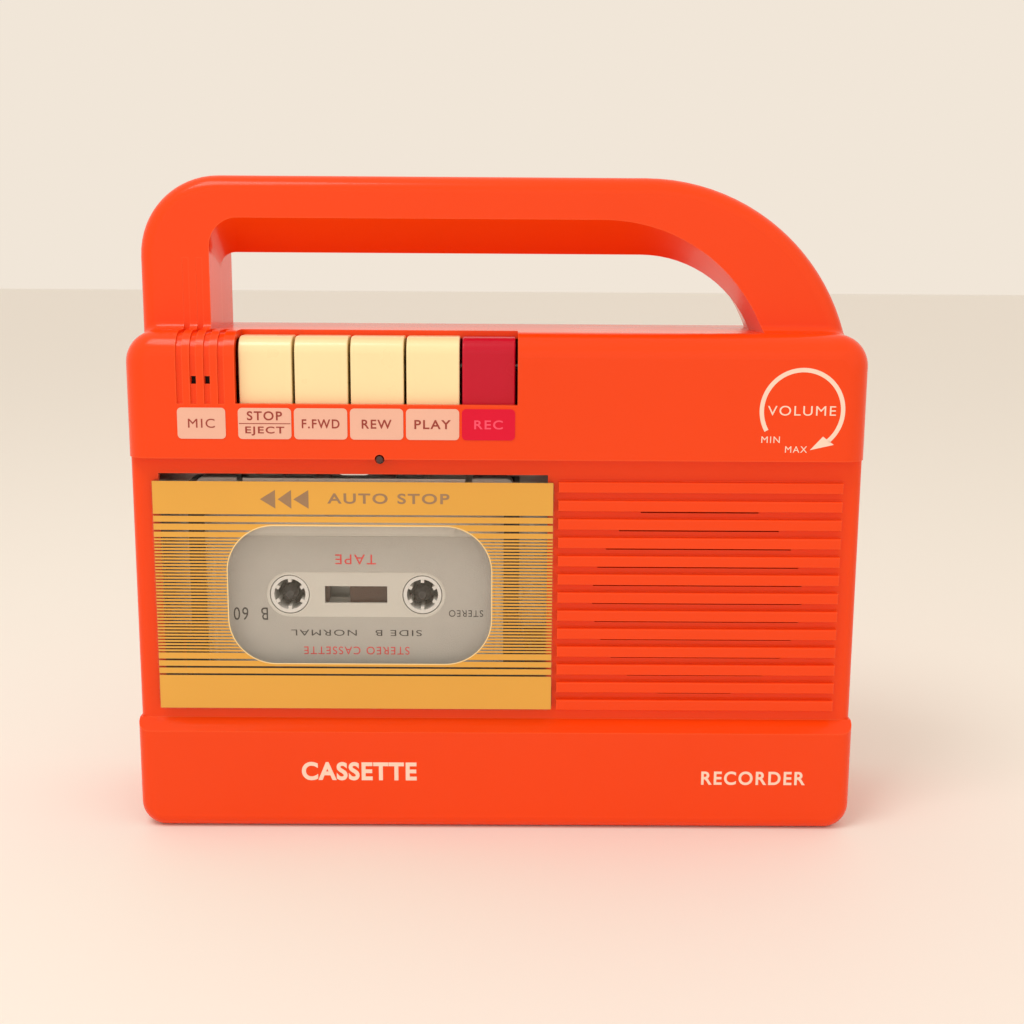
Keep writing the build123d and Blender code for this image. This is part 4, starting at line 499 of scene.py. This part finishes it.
# Hubs and tape: white toothed rings moulded in plastic, each with its pack of brown tape wound on it.
# The pack's edge shines in fine rings, one for every few turns.
hub_white = finish("hub_white", (0.78, 0.77, 0.74), rough=0.36, shift=0.05, cloud=120.0, grain=0.04)
for node in ("left_hub", "right_hub"):
    dress(node, hub_white)


def tape_finish(name, x, z):
    """Wound tape: brown, with bump and shade that change with the distance from the hub's centre."""
    material, nodes, link = bare_material(name)
    shader = nodes["Principled BSDF"]
    place = nodes.new("ShaderNodeTexCoord")
    mapping = nodes.new("ShaderNodeMapping")
    mapping.inputs["Location"].default_value = (-x, 0, -z)
    mapping.inputs["Scale"].default_value = (1, 0, 1)
    link(place.outputs["Object"], mapping.inputs["Vector"])
    far = nodes.new("ShaderNodeVectorMath")
    far.operation = "LENGTH"
    link(mapping.outputs["Vector"], far.inputs[0])
    rings = nodes.new("ShaderNodeTexNoise")
    rings.noise_dimensions = "1D"
    rings.inputs["Scale"].default_value = 9000.0
    link(far.outputs["Value"], rings.inputs["W"])
    tones = nodes.new("ShaderNodeMix")
    tones.data_type = "RGBA"
    tones.inputs[6].default_value = (0.045, 0.018, 0.010, 1)
    tones.inputs[7].default_value = (0.115, 0.050, 0.028, 1)
    link(rings.outputs["Fac"], tones.inputs[0])
    link(tones.outputs[2], shader.inputs["Base Color"])
    bump = nodes.new("ShaderNodeBump")
    bump.inputs["Strength"].default_value = 0.25
    bump.inputs["Distance"].default_value = 0.0001
    link(rings.outputs["Fac"], bump.inputs["Height"])
    link(bump.outputs["Normal"], shader.inputs["Normal"])
    shader.inputs["Roughness"].default_value = 0.32
    return material


dress("left_tape_pack", tape_finish("left_tape", left_hub_x, hub_z))
dress("right_tape_pack", tape_finish("right_tape", right_hub_x, hub_z))

# Deck: pressed steel plate on four posts; its brackets and the head carriage are the same rolled sheet.
# The faint streaks run along the sheet, as rolling leaves them.
sheet_steel = finish("sheet_steel", (0.60, 0.59, 0.55), rough=0.36, shift=0.08, cloud=35.0, grain=0.15,
                     grain_scale=500.0, metal=1.0, stretch=(1, 1, 9), wear=0.2, wear_colour=(0.80, 0.80, 0.77))
for node in ("deck_plate", "flywheel_bracket", "motor_bracket", "head_carriage"):
    dress(node, sheet_steel)

# Heads: the record head is metal, polished where the tape runs over it, and the erase head is a plastic
# block. Both ride on the head carriage.
polished_head = finish("polished_head", (0.72, 0.71, 0.68), rough=0.18, shift=0.06, cloud=80.0, grain=0.03,
                       metal=1.0, wear=0.3, wear_colour=(0.92, 0.91, 0.88))
dress("record_play_head", polished_head)
dress("erase_head", black)

# Drive: brass bush and pulley, a turned flywheel and motor can, rubber-tyred wheels and a flat rubber belt.
# The two spindles, which turn in bores in the deck plate, and the supply brake wheel are moulded plastic.
brass = finish("turned_brass", (0.78, 0.52, 0.20), rough=0.28, shift=0.08, cloud=80.0, grain=0.12,
               grain_scale=1800.0, metal=1.0, wear=0.2, wear_colour=(0.95, 0.75, 0.40))
rubber = finish("black_rubber", (0.018, 0.017, 0.017), rough=0.72, shift=0.2, cloud=120.0, grain=0.35,
                grain_scale=2200.0, rough_shift=0.06)
dark_metal = finish("dark_metal", (0.09, 0.09, 0.095), rough=0.34, shift=0.15, cloud=45.0, grain=0.08,
                    grain_scale=1100.0, metal=0.9, wear=0.4, wear_colour=(0.35, 0.35, 0.36))
for node in ("capstan_bush", "motor_pulley"):
    dress(node, brass)
for node in ("drive_belt", "pinch_roller", "idler_wheel", "takeup_wheel"):
    dress(node, rubber)
for node in ("flywheel", "drive_motor"):
    dress(node, dark_metal)
for node in ("takeup_spindle", "supply_spindle"):
    dress(node, black)
dress("supply_brake_wheel", hub_white)

# Loudspeaker: a pressed basket and a magnet in dark metal behind the grille.
# They hold a cone of dark, fibrous paper pulp.
cone_paper = finish("cone_paper", (0.035, 0.031, 0.028), rough=0.88, shift=0.3, cloud=260.0, grain=0.6,
                    grain_scale=2600.0, rough_shift=0.06)
for node in ("speaker_magnet", "speaker_basket"):
    dress(node, dark_metal)
dress("speaker_cone", cone_paper)

# Volume and sockets: a black plastic finger wheel on a steel-cased control, worked from the right side.
# Three black plastic sockets stand below it in the same wall.
for node in ("volume_wheel", "audio_jacks", "power_jack"):
    dress(node, black)
dress("volume_control", steel)

# Circuit: a green resin board that carries capacitors in blue sleeves, a black plastic amplifier chip
# and a white plastic record switch.
board_resin = finish("board_resin", (0.05, 0.15, 0.055), rough=0.38, shift=0.25, cloud=130.0, grain=0.20,
                     grain_scale=700.0, coat=0.3)
capacitor_sleeve = finish("capacitor_sleeve", (0.03, 0.06, 0.22), rough=0.30, shift=0.2, cloud=90.0,
                          grain=0.03, coat=0.3)
dress("circuit_board", board_resin)
dress("circuit_capacitors", capacitor_sleeve)
dress("amplifier_chip", black)
dress("record_switch", hub_white)

# Batteries: four round cells in blue sleeves, their edges rubbed pale.
# They lie end to end between two plated steel contacts, one of them a spring.
cell_sleeve = finish("cell_sleeve", (0.10, 0.10, 0.36), rough=0.34, shift=0.25, cloud=24.0, grain=0.04,
                     coat=0.3, wear=0.4, wear_colour=(0.7, 0.68, 0.64))
dress("batteries", cell_sleeve)
dress("battery_contacts", sheet_steel)
